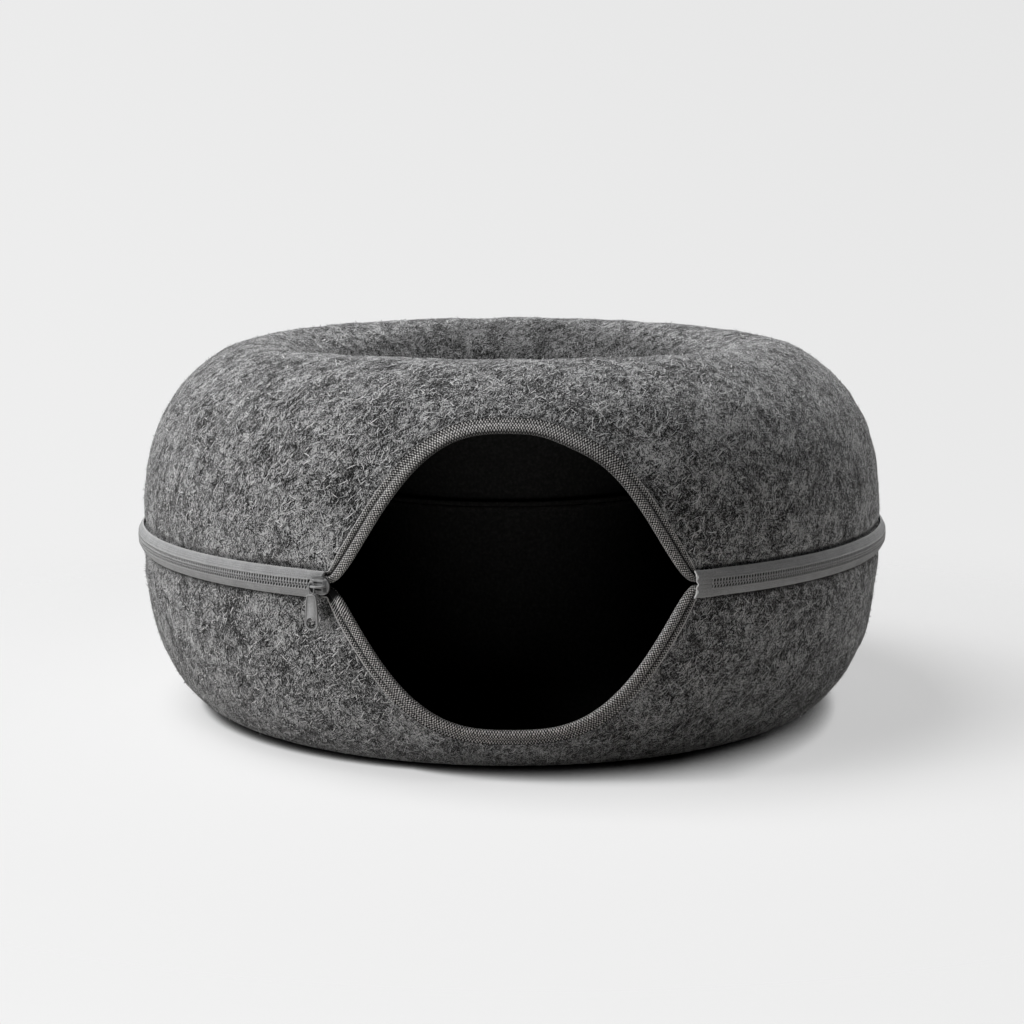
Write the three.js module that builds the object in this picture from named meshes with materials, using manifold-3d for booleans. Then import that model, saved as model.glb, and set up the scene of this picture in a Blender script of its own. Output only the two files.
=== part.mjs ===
// Donut cat bed: two moulded felt half shells zipped together into a ring-shaped tunnel, with a
// tape-bound opening in front. Millimetres, +Z up, the opening towards -Y, on its flat base.
import * as THREE from "three";
import { mergeVertices } from "three/addons/utils/BufferGeometryUtils.js";
import Module from "manifold-3d";

const wasm = await Module();
wasm.setup();

// Ring: radii are taken from its upright axis, heights from the floor
const RING_RADIUS = 250;
const RING_HEIGHT = 246;
const CREST_RADIUS = 170;
const ZIP_HEIGHT = 118.2;
const WELL_RADIUS = 101;
const WELL_SEAM_HEIGHT = 146;
const BASE_OUTER_RADIUS = 198;
const BASE_INNER_RADIUS = 150;
// How square each quarter of the ring's section is, across the ring and upwards
const SQUARENESS = {
  upperOuter: { across: 1.72, up: 2.7 },
  upperWell: { across: 1.66, up: 2.23 },
  lowerOuter: { across: 1.66, up: 2.55 },
  lowerWell: { across: 1.8, up: 2.2 },
};
// The felt isn't quite even: its crest rises in front and behind and leans back a little, and its
// zip line is higher on the right
const CREST_SADDLE = 1.1;
const CREST_TILT = 0.9;
const ZIP_SWAY = 0.8;
// The opening takes away the ring's front, so the middle of the footprint lies behind the axis
const AXIS_Y = -9;

// Felt
const FELT_THICK = 3;
const ZIP_GAP = 2.2; // from the zip's middle line to either felt edge
const SEAM_GAP = 0.2; // from the well seam's middle line to either felt
const SEAM_THICK = 3;
const SEAM_FLANGE = 5; // seam allowance turned into the tunnel
const SMOOTHING = 8; // rounds the section where two of its curves meet

// Opening: a bell above the zip line and a shallower one below it, measured along the felt
const OPENING_HALF_WIDTH = 111;
const OPENING_RISE = 94.9;
const OPENING_DROP = 91.3;
const BELL_CROWN = 3; // a larger power makes the crown flatter
const UPPER_FLARE = 1.74; // a larger power makes the ends trail longer along the zip
const LOWER_FLARE = 1.5;
// The upper bell hangs a little lower on its right
const SAG_DEPTH = 4.2;
const SAG_PLACE = 39; // from the opening's middle, along the zip line
const SAG_REACH = 20;

// Binding: a tape folded over the felt's cut edge
const BINDING_THICK = 0.8;
const BINDING_CLEAR = 0.6;
const BINDING_FACE = 9;
const BINDING_FACE_END = 5.6; // narrowed where it runs under the zip tape
const BINDING_BACK = 7;
const BINDING_REACH = 115.5; // how far it runs from the opening's middle, along the zip line
const BINDING_TAPER = 95; // where it starts to narrow
const BINDING_ROUND = 0.5;

// Zip: places along its line are measured on the felt from the opening's middle
const TAPE_END = 110;
const CHAIN_END = 122.5;
const TAPE_MEET = 0.2; // the two tapes close up beyond the chain
// Section of a tape from its outer edge: distance from the zip line, height above the felt,
// and the height where it passes over the binding
const TAPE_SECTION = [
  { from: 8.2, high: 0.4, raised: 1.9 },
  { from: 8.2, high: 1.4, raised: 2.9 },
  { from: 6.4, high: 2.7, raised: 3.4 },
  { from: 3.0, high: 3.9, raised: 3.9 },
  { from: 3.0, high: 2.8, raised: 2.8 },
  { from: 6.0, high: 1.6, raised: 2.3 },
];
const TAPE_INNER_EDGE = 3.0;
// Section of the closed chain: distance above the zip line and height above the felt
const CHAIN_SECTION = [
  { from: -2.65, high: 2.2 },
  { from: 2.65, high: 2.2 },
  { from: 2.65, high: 3.7 },
  { from: 1.4, high: 4.5 },
  { from: -1.4, high: 4.5 },
  { from: -2.65, high: 3.7 },
];

// Slider and pull, in a frame on the zip line: x along the zip, y up the felt, z off it
const SLIDER_PLACE = -113.2;
const SLIDER_NOSE_RADIUS = 5.7;
const SLIDER_TAIL = -8;
const SLIDER_TAIL_HALF = 4.4;
const SLIDER_BOTTOM = 4.3;
const SLIDER_THICK = 2;
const BRIDGE_FROM = -7.8;
const BRIDGE_TO = 2.5;
const BRIDGE_RISE = 4;
const BRIDGE_BAR = 1.3;
const BRIDGE_WIDE = 2.2;
const PULL_PLACE = -4.9;
const PULL_RING_RADIUS = 2.3;
const PULL_RING_WIRE = 0.6;
const PULL_WIDE = 8;
const PULL_NECK_WIDE = 3;
const PULL_NECK_TOP = -2;
const PULL_TOP = -4.6;
const PULL_BOTTOM = -26.3;
const PULL_HOLE_PLACE = -22.2;
const PULL_HOLE_RADIUS = 2.9;
const PULL_THICK = 1.4;
const PULL_LEAN = 0.02; // radians, its foot towards the felt

// Facets
const CURVE_STEPS = 240;
const UPPER_ROWS = [8, 7]; // up to the crest, and on into the well
const LOWER_ROWS = [8, 1, 6]; // down to the flat base, across it, and on into the well
const OPENING_COLUMNS = 11; // on each side of the opening's middle
const EVEN_SHARE = 0.55; // 1 spaces these columns evenly, less crowds them towards the corners
const RING_COLUMNS = 46;
const CORNER_STEPS = [0.032, 0.041, 0.085]; // radians past the corner, for the ends of the zip
const ARC_SEGMENTS = 10;
const PULL_RING_SEGMENTS = 14;
const PULL_WIRE_SEGMENTS = 6;

const CORNER_ANGLE = OPENING_HALF_WIDTH / RING_RADIUS;
const onZip = (place) => place / RING_RADIUS;

// A quarter of the ring's section, leaving its start upright and reaching its end level
function quarter(start, end, power) {
  return Array.from({ length: CURVE_STEPS + 1 }, (_, step) => {
    const turn = (Math.PI / 2) * (step / CURVE_STEPS);
    const across = Math.max(0, Math.cos(turn)) ** (2 / power.across);
    const up = Math.sin(turn) ** (2 / power.up);
    return new THREE.Vector2(
      end.x + (start.x - end.x) * across,
      start.y + (end.y - start.y) * up,
    );
  });
}

const zipLine = new THREE.Vector2(RING_RADIUS, ZIP_HEIGHT);
const wellSeam = new THREE.Vector2(WELL_RADIUS, WELL_SEAM_HEIGHT);
const crest = new THREE.Vector2(CREST_RADIUS, RING_HEIGHT);
const baseOuter = new THREE.Vector2(BASE_OUTER_RADIUS, 0);
const baseInner = new THREE.Vector2(BASE_INNER_RADIUS, 0);

// How far the felt is lifted out of an even ring, from nothing at the floor
function unevenness(angle, height) {
  const share = height / RING_HEIGHT;
  const crestLift = CREST_SADDLE * Math.cos(2 * angle) - CREST_TILT * Math.cos(angle);
  return share * crestLift + Math.sin(Math.PI * share) * ZIP_SWAY * Math.sin(angle);
}

// The section of one half shell as a path from the zip line to the well's seam.
// The turn is 1 where the outer side of the felt is on the right of the path, else -1.
// The rows are the numbers of facets along the path between the ends of its curves.
class HalfSection {
  constructor({ turn, outer, well, opening, flare, sag, rows }) {
    this.turn = turn;
    this.opening = opening;
    this.flare = flare;
    this.sag = sag;
    this.rows = rows;
    this.points = [...outer, ...well.reverse()];
    this.lengths = [0];
    for (let i = 1; i < this.points.length; i++) {
      this.lengths.push(this.lengths[i - 1] + this.points[i].distanceTo(this.points[i - 1]));
    }
    this.length = this.lengths.at(-1);
    const outerEnd = this.lengths[outer.length - 1];
    const wellStart = this.lengths[outer.length];
    const flat = wellStart - outerEnd > 2 * SMOOTHING;
    this.stops = flat ? [outerEnd + SMOOTHING, wellStart - SMOOTHING] : [outerEnd];
  }

  // Distances along the path of the rows of points, from a start to the well's seam
  rowsFrom(start) {
    const stops = [start, ...this.stops, this.length - SEAM_THICK];
    const rows = this.rows.flatMap((count, span) =>
      Array.from({ length: count }, (_, row) =>
        THREE.MathUtils.lerp(stops[span], stops[span + 1], row / count),
      ),
    );
    return [...rows, stops.at(-1)];
  }

  // The point of the bare path at a distance along it
  bare(along) {
    const found = this.lengths.findIndex((length) => length >= along);
    const next = Math.max(1, found < 0 ? this.points.length - 1 : found);
    const span = this.lengths[next] - this.lengths[next - 1];
    const share = span > 0 ? (along - this.lengths[next - 1]) / span : 0;
    return this.points[next - 1].clone().lerp(this.points[next], share);
  }

  // The same with its corners rounded, by the mean of the points around it
  smooth(along) {
    const inside = THREE.MathUtils.clamp(along, 0, this.length);
    const reach = Math.min(SMOOTHING, inside, this.length - inside);
    const sum = new THREE.Vector2();
    const spread = [-1, -0.5, 0, 0.5, 1];
    spread.forEach((step) => sum.add(this.bare(inside + step * reach)));
    return sum.divideScalar(spread.length);
  }

  // A point on the felt's outer face, or off it by a height
  surface(angle, along, high) {
    const nearby = 1;
    const before = this.smooth(along - nearby);
    const way = this.smooth(along + nearby).sub(before).normalize();
    const at = this.smooth(along);
    const radius = at.x + this.turn * way.y * high;
    const height = at.y - this.turn * way.x * high + unevenness(angle, at.y);
    return new THREE.Vector3(radius * Math.sin(angle), -radius * Math.cos(angle), height);
  }

  radiusAt(along) {
    return this.smooth(along).x;
  }

  // How far the felt's cut edge lies from the zip line
  edge(angle) {
    const share = Math.min(1, Math.abs(angle) / CORNER_ANGLE);
    const crown = 1 - share ** BELL_CROWN;
    const fromSag = (angle * RING_RADIUS - SAG_PLACE) / SAG_REACH;
    const sag = this.sag * crown * Math.exp(-(fromSag ** 2));
    return ZIP_GAP + (this.opening - ZIP_GAP) * crown ** this.flare - sag;
  }
}

const upper = new HalfSection({
  turn: 1,
  outer: quarter(zipLine, crest, SQUARENESS.upperOuter),
  well: quarter(wellSeam, crest, SQUARENESS.upperWell),
  opening: OPENING_RISE,
  flare: UPPER_FLARE,
  sag: SAG_DEPTH,
  rows: UPPER_ROWS,
});
const lower = new HalfSection({
  turn: -1,
  outer: quarter(zipLine, baseOuter, SQUARENESS.lowerOuter),
  well: quarter(wellSeam, baseInner, SQUARENESS.lowerWell),
  opening: OPENING_DROP,
  flare: LOWER_FLARE,
  sag: 0,
  rows: LOWER_ROWS,
});

// Angles around the axis, from the opening's middle: closer together towards its corners
function openingAngles() {
  const angles = [];
  for (let column = -OPENING_COLUMNS; column <= OPENING_COLUMNS; column++) {
    const share = column / OPENING_COLUMNS;
    const crowded = Math.sin((share * Math.PI) / 2);
    angles.push(CORNER_ANGLE * THREE.MathUtils.lerp(crowded, share, EVEN_SHARE));
  }
  return angles;
}

// Angles of the closed part of the ring, between the opening's two corners and without them
function closedAngles() {
  const first = CORNER_ANGLE + CORNER_STEPS.at(-1);
  const span = 2 * Math.PI - 2 * first;
  const even = Array.from({ length: RING_COLUMNS + 1 }, (_, i) => first + (span * i) / RING_COLUMNS);
  const near = CORNER_STEPS.slice(0, -1).map((step) => CORNER_ANGLE + step);
  const far = near.map((angle) => 2 * Math.PI - angle).reverse();
  return [...near, ...even, ...far];
}

// Places the same closed outline at each station and skins it, with flat ends unless it is a ring.
// Each loop holds the outline's points at one station, in the outline's own order. A facet is
// split along its shorter diagonal, so that it stays close to the curved felt.
function loft(loops, outline) {
  const count = loops[0].length;
  const points = loops.flat();
  const spans = outline ? loops.length - 1 : loops.length;
  const index = [];
  for (let station = 0; station < spans; station++) {
    const here = station * count;
    const there = ((station + 1) % loops.length) * count;
    for (let i = 0; i < count; i++) {
      const next = (i + 1) % count;
      const [a, b, c, d] = [here + i, there + i, there + next, here + next];
      const straight = points[a].distanceTo(points[c]) <= points[b].distanceTo(points[d]);
      index.push(...(straight ? [a, b, c, a, c, d] : [a, b, d, b, c, d]));
    }
  }
  if (outline) {
    const last = spans * count;
    for (const [a, b, c] of THREE.ShapeUtils.triangulateShape(outline, [])) {
      index.push(a, b, c, last + c, last + b, last + a);
    }
  }
  const geometry = new THREE.BufferGeometry().setFromPoints(points);
  geometry.setIndex(volume(points, index) < 0 ? index.reverse() : index);
  geometry.computeVertexNormals();
  return geometry;
}

// Signed volume of a closed skin, six times over: its sign tells which way the faces point
function volume(points, index) {
  let sum = 0;
  const normal = new THREE.Vector3();
  for (let i = 0; i < index.length; i += 3) {
    normal.crossVectors(points[index[i + 1]], points[index[i + 2]]);
    sum += points[index[i]].dot(normal);
  }
  return sum;
}

// One half of the ring: outer and inner face, cut edge and the flange of the well's seam
function shellGeometry(half) {
  const end = half.length - SEAM_GAP;
  const seam = half.length - SEAM_THICK;
  const flange = -FELT_THICK - SEAM_FLANGE;
  const loops = [...openingAngles(), ...closedAngles()].map((angle) => {
    const rows = half.rowsFrom(half.edge(angle));
    const outside = [...rows, end].map((along) => half.surface(angle, along, 0));
    const turned = [end, seam].map((along) => half.surface(angle, along, flange));
    const inside = rows.reverse().map((along) => half.surface(angle, along, -FELT_THICK));
    return [...outside, ...turned, ...inside];
  });
  return loft(loops, null);
}

// Section of the binding, open towards the felt: x into the felt from its edge, y off its face
function bindingOutline(face, back) {
  const top = BINDING_CLEAR + BINDING_THICK;
  const bottom = -FELT_THICK - top;
  return [
    new THREE.Vector2(face, BINDING_CLEAR),
    new THREE.Vector2(face, top),
    new THREE.Vector2(0, top),
    new THREE.Vector2(-top + BINDING_ROUND, top - BINDING_ROUND),
    new THREE.Vector2(-top, -FELT_THICK / 2),
    new THREE.Vector2(-top + BINDING_ROUND, bottom + BINDING_ROUND),
    new THREE.Vector2(0, bottom),
    new THREE.Vector2(back, bottom),
    new THREE.Vector2(back, bottom + BINDING_THICK),
    new THREE.Vector2(0, bottom + BINDING_THICK),
    new THREE.Vector2(-BINDING_CLEAR, -FELT_THICK),
    new THREE.Vector2(-BINDING_CLEAR, 0),
    new THREE.Vector2(0, BINDING_CLEAR),
  ];
}

function bindingGeometry(half) {
  const reach = onZip(BINDING_REACH);
  const loops = [-reach, ...openingAngles(), reach].map((angle) => {
    const edge = half.edge(angle);
    const radius = half.radiusAt(edge);
    const nearby = 0.002;
    const slope = (half.edge(angle + nearby) - half.edge(angle - nearby)) / (2 * nearby * radius);
    const inwards = new THREE.Vector2(-slope, 1).normalize();
    const narrowing = (Math.abs(angle) * RING_RADIUS - BINDING_TAPER) / (BINDING_REACH - BINDING_TAPER);
    const share = THREE.MathUtils.clamp(narrowing, 0, 1);
    const face = THREE.MathUtils.lerp(BINDING_FACE, BINDING_FACE_END, share);
    const back = Math.min(BINDING_BACK, face);
    return bindingOutline(face, back).map((point) => {
      const turn = (inwards.x * point.x) / radius;
      return half.surface(angle + turn, edge + inwards.y * point.x, point.y);
    });
  });
  return loft(loops, bindingOutline(BINDING_FACE, BINDING_BACK));
}

// One of the zip's two tapes: down on the felt, but raised and closed up at both ends
function tapeGeometry(half) {
  const end = onZip(TAPE_END);
  const raisedUpTo = CORNER_ANGLE + CORNER_STEPS[1];
  const closedUpTo = CORNER_ANGLE + CORNER_STEPS[0];
  const slack = 1e-6;
  const angles = [end, ...closedAngles(), 2 * Math.PI - end];
  const loops = angles.map((angle) => {
    const toMiddle = Math.min(angle, 2 * Math.PI - angle);
    const raised = toMiddle < raisedUpTo + slack;
    const closed = toMiddle < closedUpTo + slack;
    return TAPE_SECTION.map((point) => {
      const inner = point.from === TAPE_INNER_EDGE;
      const from = inner && closed ? TAPE_MEET : point.from;
      return half.surface(angle, from, raised ? point.raised : point.high);
    });
  });
  const outline = TAPE_SECTION.map((point) => new THREE.Vector2(point.from, point.high));
  return loft(loops, outline);
}

function chainGeometry() {
  const end = onZip(CHAIN_END);
  const between = closedAngles().filter((angle) => angle > end && angle < 2 * Math.PI - end);
  const loops = [end, ...between, 2 * Math.PI - end].map((angle) =>
    CHAIN_SECTION.map((point) => {
      const half = point.from > 0 ? upper : lower;
      return half.surface(angle, Math.abs(point.from), point.high);
    }),
  );
  const outline = CHAIN_SECTION.map((point) => new THREE.Vector2(point.from, point.high));
  return loft(loops, outline);
}

// Joins closed geometries into one
function join(geometries) {
  const solids = geometries.map((geometry) => {
    const bare = geometry.clone();
    bare.deleteAttribute("normal");
    bare.deleteAttribute("uv");
    const merged = mergeVertices(bare, 1e-4);
    const vertProperties = merged.attributes.position.array;
    const triVerts = new Uint32Array(merged.index.array);
    return new wasm.Manifold(new wasm.Mesh({ numProp: 3, vertProperties, triVerts }));
  });
  const mesh = solids.reduce((whole, solid) => whole.add(solid)).getMesh();
  const joined = new THREE.BufferGeometry();
  joined.setAttribute("position", new THREE.BufferAttribute(mesh.vertProperties, 3));
  joined.setIndex(new THREE.BufferAttribute(mesh.triVerts, 1));
  joined.computeVertexNormals();
  return joined;
}

function sliderGeometry() {
  const body = new THREE.Shape();
  body.moveTo(SLIDER_TAIL, -SLIDER_TAIL_HALF);
  body.lineTo(0, -SLIDER_NOSE_RADIUS);
  body.absarc(0, 0, SLIDER_NOSE_RADIUS, -Math.PI / 2, Math.PI / 2);
  body.lineTo(SLIDER_TAIL, SLIDER_TAIL_HALF);
  const options = { depth: SLIDER_THICK, bevelEnabled: false, curveSegments: ARC_SEGMENTS };
  const plate = new THREE.ExtrudeGeometry(body, options);
  plate.translate(0, 0, SLIDER_BOTTOM);

  // The bridge stands on the plate and sinks into it a little
  const sunk = -0.5;
  const arch = new THREE.Shape();
  arch.moveTo(BRIDGE_FROM, sunk);
  arch.lineTo(BRIDGE_FROM + BRIDGE_BAR, sunk);
  arch.lineTo(BRIDGE_FROM + BRIDGE_BAR, BRIDGE_RISE - BRIDGE_BAR);
  arch.lineTo(BRIDGE_TO - 2 * BRIDGE_BAR, BRIDGE_RISE - BRIDGE_BAR);
  arch.lineTo(BRIDGE_TO - BRIDGE_BAR, sunk);
  arch.lineTo(BRIDGE_TO, sunk);
  arch.lineTo(BRIDGE_TO - BRIDGE_BAR, BRIDGE_RISE);
  arch.lineTo(BRIDGE_FROM + BRIDGE_BAR / 2, BRIDGE_RISE);
  arch.lineTo(BRIDGE_FROM, BRIDGE_RISE - BRIDGE_BAR / 2);
  const bridge = new THREE.ExtrudeGeometry(arch, { depth: BRIDGE_WIDE, bevelEnabled: false });
  bridge.rotateX(Math.PI / 2);
  bridge.translate(0, BRIDGE_WIDE / 2, SLIDER_BOTTOM + SLIDER_THICK);
  return join([plate, bridge]);
}

// The pull hangs on the bridge by a ring; its own origin is the ring's middle
function pullGeometry() {
  const ring = new THREE.TorusGeometry(
    PULL_RING_RADIUS,
    PULL_RING_WIRE,
    PULL_WIRE_SEGMENTS,
    PULL_RING_SEGMENTS,
  );
  ring.rotateY(Math.PI / 2);
  const half = PULL_WIDE / 2;
  const plate = new THREE.Shape();
  plate.moveTo(PULL_NECK_WIDE / 2, PULL_NECK_TOP);
  plate.lineTo(-PULL_NECK_WIDE / 2, PULL_NECK_TOP);
  plate.lineTo(-PULL_NECK_WIDE / 2, PULL_TOP);
  plate.lineTo(-half, PULL_TOP - PULL_NECK_WIDE);
  plate.lineTo(-half, PULL_BOTTOM + half);
  plate.absarc(0, PULL_BOTTOM + half, half, Math.PI, 2 * Math.PI);
  plate.lineTo(half, PULL_TOP - PULL_NECK_WIDE);
  plate.lineTo(PULL_NECK_WIDE / 2, PULL_TOP);
  const hole = new THREE.Path().absarc(0, PULL_HOLE_PLACE, PULL_HOLE_RADIUS, 0, 2 * Math.PI);
  plate.holes.push(hole);
  const options = { depth: PULL_THICK, bevelEnabled: false, curveSegments: ARC_SEGMENTS };
  const tab = new THREE.ExtrudeGeometry(plate, options);
  tab.translate(0, 0, -PULL_THICK / 2);
  return join([ring, tab]);
}

// Turns a group so that its x runs along the zip, its y up the felt and its z off it
function standOnZip(group, place) {
  const angle = onZip(place);
  const along = new THREE.Vector3(Math.cos(angle), Math.sin(angle), 0);
  const up = new THREE.Vector3(0, 0, 1);
  const off = new THREE.Vector3(Math.sin(angle), -Math.cos(angle), 0);
  group.quaternion.setFromRotationMatrix(new THREE.Matrix4().makeBasis(along, up, off));
  group.position.copy(upper.surface(angle, 0, 0));
}

function cloth(color) {
  return new THREE.MeshStandardMaterial({ color, roughness: 0.95, metalness: 0 });
}

function coated(color) {
  return new THREE.MeshStandardMaterial({ color, roughness: 0.45, metalness: 0.3 });
}

function named(name, geometry, material) {
  const mesh = new THREE.Mesh(geometry, material);
  mesh.name = name;
  return mesh;
}

const bed = new THREE.Group();
const ring = new THREE.Group();
ring.position.y = AXIS_Y;
bed.add(ring);

ring.add(named("upper_shell", shellGeometry(upper), cloth("#828386")));
ring.add(named("lower_shell", shellGeometry(lower), cloth("#7b7c7f")));
ring.add(named("opening_binding_upper", bindingGeometry(upper), cloth("#706f6d")));
ring.add(named("opening_binding_lower", bindingGeometry(lower), cloth("#6a6967")));
ring.add(named("zip_tape_upper", tapeGeometry(upper), cloth("#8a888b")));
ring.add(named("zip_tape_lower", tapeGeometry(lower), cloth("#858386")));
ring.add(named("zip_chain", chainGeometry(), coated("#727174")));

const fitting = new THREE.Group();
standOnZip(fitting, SLIDER_PLACE);
ring.add(fitting);
fitting.add(named("zip_slider", sliderGeometry(), coated("#8f8e91")));
const pull = named("zip_pull", pullGeometry(), coated("#8b8a8d"));
pull.position.set(PULL_PLACE, 0, SLIDER_BOTTOM + SLIDER_THICK + BRIDGE_RISE - BRIDGE_BAR / 2);
pull.rotation.x = PULL_LEAN;
fitting.add(pull);

export default bed;
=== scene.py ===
"""Looks of the donut cat bed: felt half shells, bound opening and zip, on a pale floor in soft light."""
import math

import bpy
import numpy as np
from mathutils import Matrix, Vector


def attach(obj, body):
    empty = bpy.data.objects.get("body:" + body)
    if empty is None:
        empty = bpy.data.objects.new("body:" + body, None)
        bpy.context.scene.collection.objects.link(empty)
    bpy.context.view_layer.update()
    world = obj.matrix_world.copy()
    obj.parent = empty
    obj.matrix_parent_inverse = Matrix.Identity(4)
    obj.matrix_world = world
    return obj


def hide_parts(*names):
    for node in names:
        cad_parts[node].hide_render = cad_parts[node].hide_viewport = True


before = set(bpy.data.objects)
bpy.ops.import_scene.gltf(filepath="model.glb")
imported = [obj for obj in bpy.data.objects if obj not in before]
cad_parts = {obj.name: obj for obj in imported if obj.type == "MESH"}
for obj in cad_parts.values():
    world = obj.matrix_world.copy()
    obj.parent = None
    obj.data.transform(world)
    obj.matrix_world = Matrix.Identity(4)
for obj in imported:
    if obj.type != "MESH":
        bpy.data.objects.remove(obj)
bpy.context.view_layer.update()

# Sizes are the solids' own, in millimetres; meshes are scaled to metres when they are made
MM = 0.001
RING_RADIUS = 250.0
RING_HEIGHT = 246.0
CREST_RADIUS = 170.0
ZIP_HEIGHT = 118.2
WELL_RADIUS = 101.0
WELL_SEAM_HEIGHT = 146.0
BASE_OUTER_RADIUS = 198.0
BASE_INNER_RADIUS = 150.0
UPPER_OUTER_POWERS = (1.72, 2.7)
UPPER_WELL_POWERS = (1.66, 2.23)
LOWER_OUTER_POWERS = (1.66, 2.55)
LOWER_WELL_POWERS = (1.8, 2.2)
CREST_SADDLE = 1.1
CREST_TILT = 0.9
ZIP_SWAY = 0.8
AXIS_Y = -9.0

FELT_THICK = 3.0
FELT_EDGE_THICK = 2.0
ZIP_GAP = 2.2
SEAM_GAP = 0.2
SEAM_THICK = 3.0
SEAM_FLANGE = 5.0
SMOOTHING = 8.0

OPENING_HALF_WIDTH = 111.0
OPENING_RISE = 94.9
OPENING_DROP = 91.3
BELL_CROWN = 3.0
UPPER_FLARE = 1.74
LOWER_FLARE = 1.5
SAG_DEPTH = 4.2
SAG_PLACE = 39.0
SAG_REACH = 20.0

BINDING_FACE = 9.0
BINDING_FACE_END = 5.6
BINDING_REACH = 115.5
BINDING_TAPER = 95.0

TAPE_END = 110.0
TAPE_EDGE = 8.2
CHAIN_RIGHT = 120.6
CHAIN_LEFT = 122.5
TOOTH_PITCH = 2.1

CORNER_ANGLE = OPENING_HALF_WIDTH / RING_RADIUS
CORNER_SOFT = 0.06
CURVE_STEPS = 240
SPLINE_STEPS = 12
TWO_PI = 2 * np.pi


# Shares

def ease(value, low, high):
    """0 below low, 1 above high, and a soft step between them."""
    share = np.clip((value - low) / (high - low), 0, 1)
    return share * share * (3 - 2 * share)


def between(low, high, share):
    return low + (high - low) * share


def bell(value, place, width):
    """1 at a place, falling away on both sides of it."""
    return np.exp(-(((value - place) / width) ** 2))


def unit(rows):
    return rows / np.linalg.norm(rows, axis=-1)[..., None]


# Ring

def quarter(start, end, powers):
    """A quarter of the ring's section, as rows of radius and height."""
    across, up = powers
    turn = np.linspace(0, np.pi / 2, CURVE_STEPS + 1)
    radius = between(end[0], start[0], np.maximum(np.cos(turn), 0) ** (2 / across))
    height = between(start[1], end[1], np.sin(turn) ** (2 / up))
    return np.column_stack([radius, height])


def unevenness(angle, height):
    """How far the felt is lifted out of an even ring."""
    share = height / RING_HEIGHT
    crest_lift = CREST_SADDLE * np.cos(2 * angle) - CREST_TILT * np.cos(angle)
    return share * crest_lift + np.sin(np.pi * share) * ZIP_SWAY * np.sin(angle)


class Half:
    """The section of one half shell, as a path from the zip line to the well's seam."""

    def __init__(self, name, turn, outer, well, opening, flare, sag):
        self.name = name
        self.turn = turn
        self.opening = opening
        self.flare = flare
        self.sag = sag
        self.path = np.vstack([outer, well[::-1]])
        self.lengths = path_lengths(self.path)
        self.length = self.lengths[-1]
        self.crest = self.lengths[len(outer) - 1]

    def smooth(self, along):
        """Radius and height at a distance along the path, its corners rounded."""
        inside = np.clip(along, 0, self.length)
        reach = np.minimum(SMOOTHING, np.minimum(inside, self.length - inside))
        places = [inside + step * reach for step in (-1, -0.5, 0, 0.5, 1)]
        columns = self.path.T
        return [np.mean([np.interp(p, self.lengths, c) for p in places], axis=0) for c in columns]

    def surface(self, angle, along, high):
        """Points on the felt's outer face, or off it by a height."""
        angle, along, high = np.broadcast_arrays(angle, along, high)
        way_radius, way_height = np.subtract(self.smooth(along + 1), self.smooth(along - 1))
        size = np.hypot(way_radius, way_height)
        radius, height = self.smooth(along)
        lift = unevenness(angle, height)
        radius = radius + self.turn * way_height / size * high
        height = height - self.turn * way_radius / size * high + lift
        return np.stack([radius * np.sin(angle), AXIS_Y - radius * np.cos(angle), height], axis=-1)

    def edge(self, angle):
        """How far the felt's cut edge lies from the zip line."""
        share = np.minimum(1, np.abs(angle) / CORNER_ANGLE)
        crown = 1 - share**BELL_CROWN
        sag = self.sag * crown * bell(angle * RING_RADIUS, SAG_PLACE, SAG_REACH)
        return between(ZIP_GAP, self.opening, crown**self.flare) - sag


def path_lengths(points):
    return np.concatenate([[0], np.cumsum(np.linalg.norm(np.diff(points, axis=0), axis=1))])


def make_halves():
    zip_line = (RING_RADIUS, ZIP_HEIGHT)
    seam = (WELL_RADIUS, WELL_SEAM_HEIGHT)
    crest = (CREST_RADIUS, RING_HEIGHT)
    outer = quarter(zip_line, crest, UPPER_OUTER_POWERS)
    well = quarter(seam, crest, UPPER_WELL_POWERS)
    upper = Half("upper", 1, outer, well, OPENING_RISE, UPPER_FLARE, SAG_DEPTH)
    outer = quarter(zip_line, (BASE_OUTER_RADIUS, 0.0), LOWER_OUTER_POWERS)
    well = quarter(seam, (BASE_INNER_RADIUS, 0.0), LOWER_WELL_POWERS)
    return upper, Half("lower", -1, outer, well, OPENING_DROP, LOWER_FLARE, 0.0)


UPPER, LOWER = make_halves()


# Meshes

def put(name, data):
    made = bpy.data.objects.new(name, data)
    bpy.context.scene.collection.objects.link(made)
    return made


def mesh_object(name, points, faces, materials):
    mesh = bpy.data.meshes.new(name)
    mesh.from_pydata(points, [], faces)
    for one in materials:
        mesh.materials.append(one)
    return put(name, mesh)


def piece(name, points, faces, materials, marks=None, node=None):
    """A smooth piece with named values at its points, in place of a solid where it has its node."""
    made = mesh_object(name, (np.asarray(points) * MM).tolist(), faces, materials)
    made.data.polygons.foreach_set("use_smooth", np.ones(len(made.data.polygons), dtype=bool))
    for key, values in (marks or {}).items():
        layer = made.data.attributes.new(key, "FLOAT", "POINT")
        layer.data.foreach_set("value", np.ravel(values).astype(np.float32))
    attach(made, "root")
    if node:
        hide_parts(node)
    return made


def grid_faces(stations, count, closed_along, closed_round):
    last_along = stations if closed_along else stations - 1
    last_round = count if closed_round else count - 1
    here, there = np.meshgrid(np.arange(last_along), np.arange(last_round), indexing="ij")
    next_here = (here + 1) % stations
    next_there = (there + 1) % count
    corners = [(here, there), (next_here, there), (next_here, next_there), (here, next_there)]
    return np.stack([row * count + column for row, column in corners], axis=-1).reshape(-1, 4)


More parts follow.
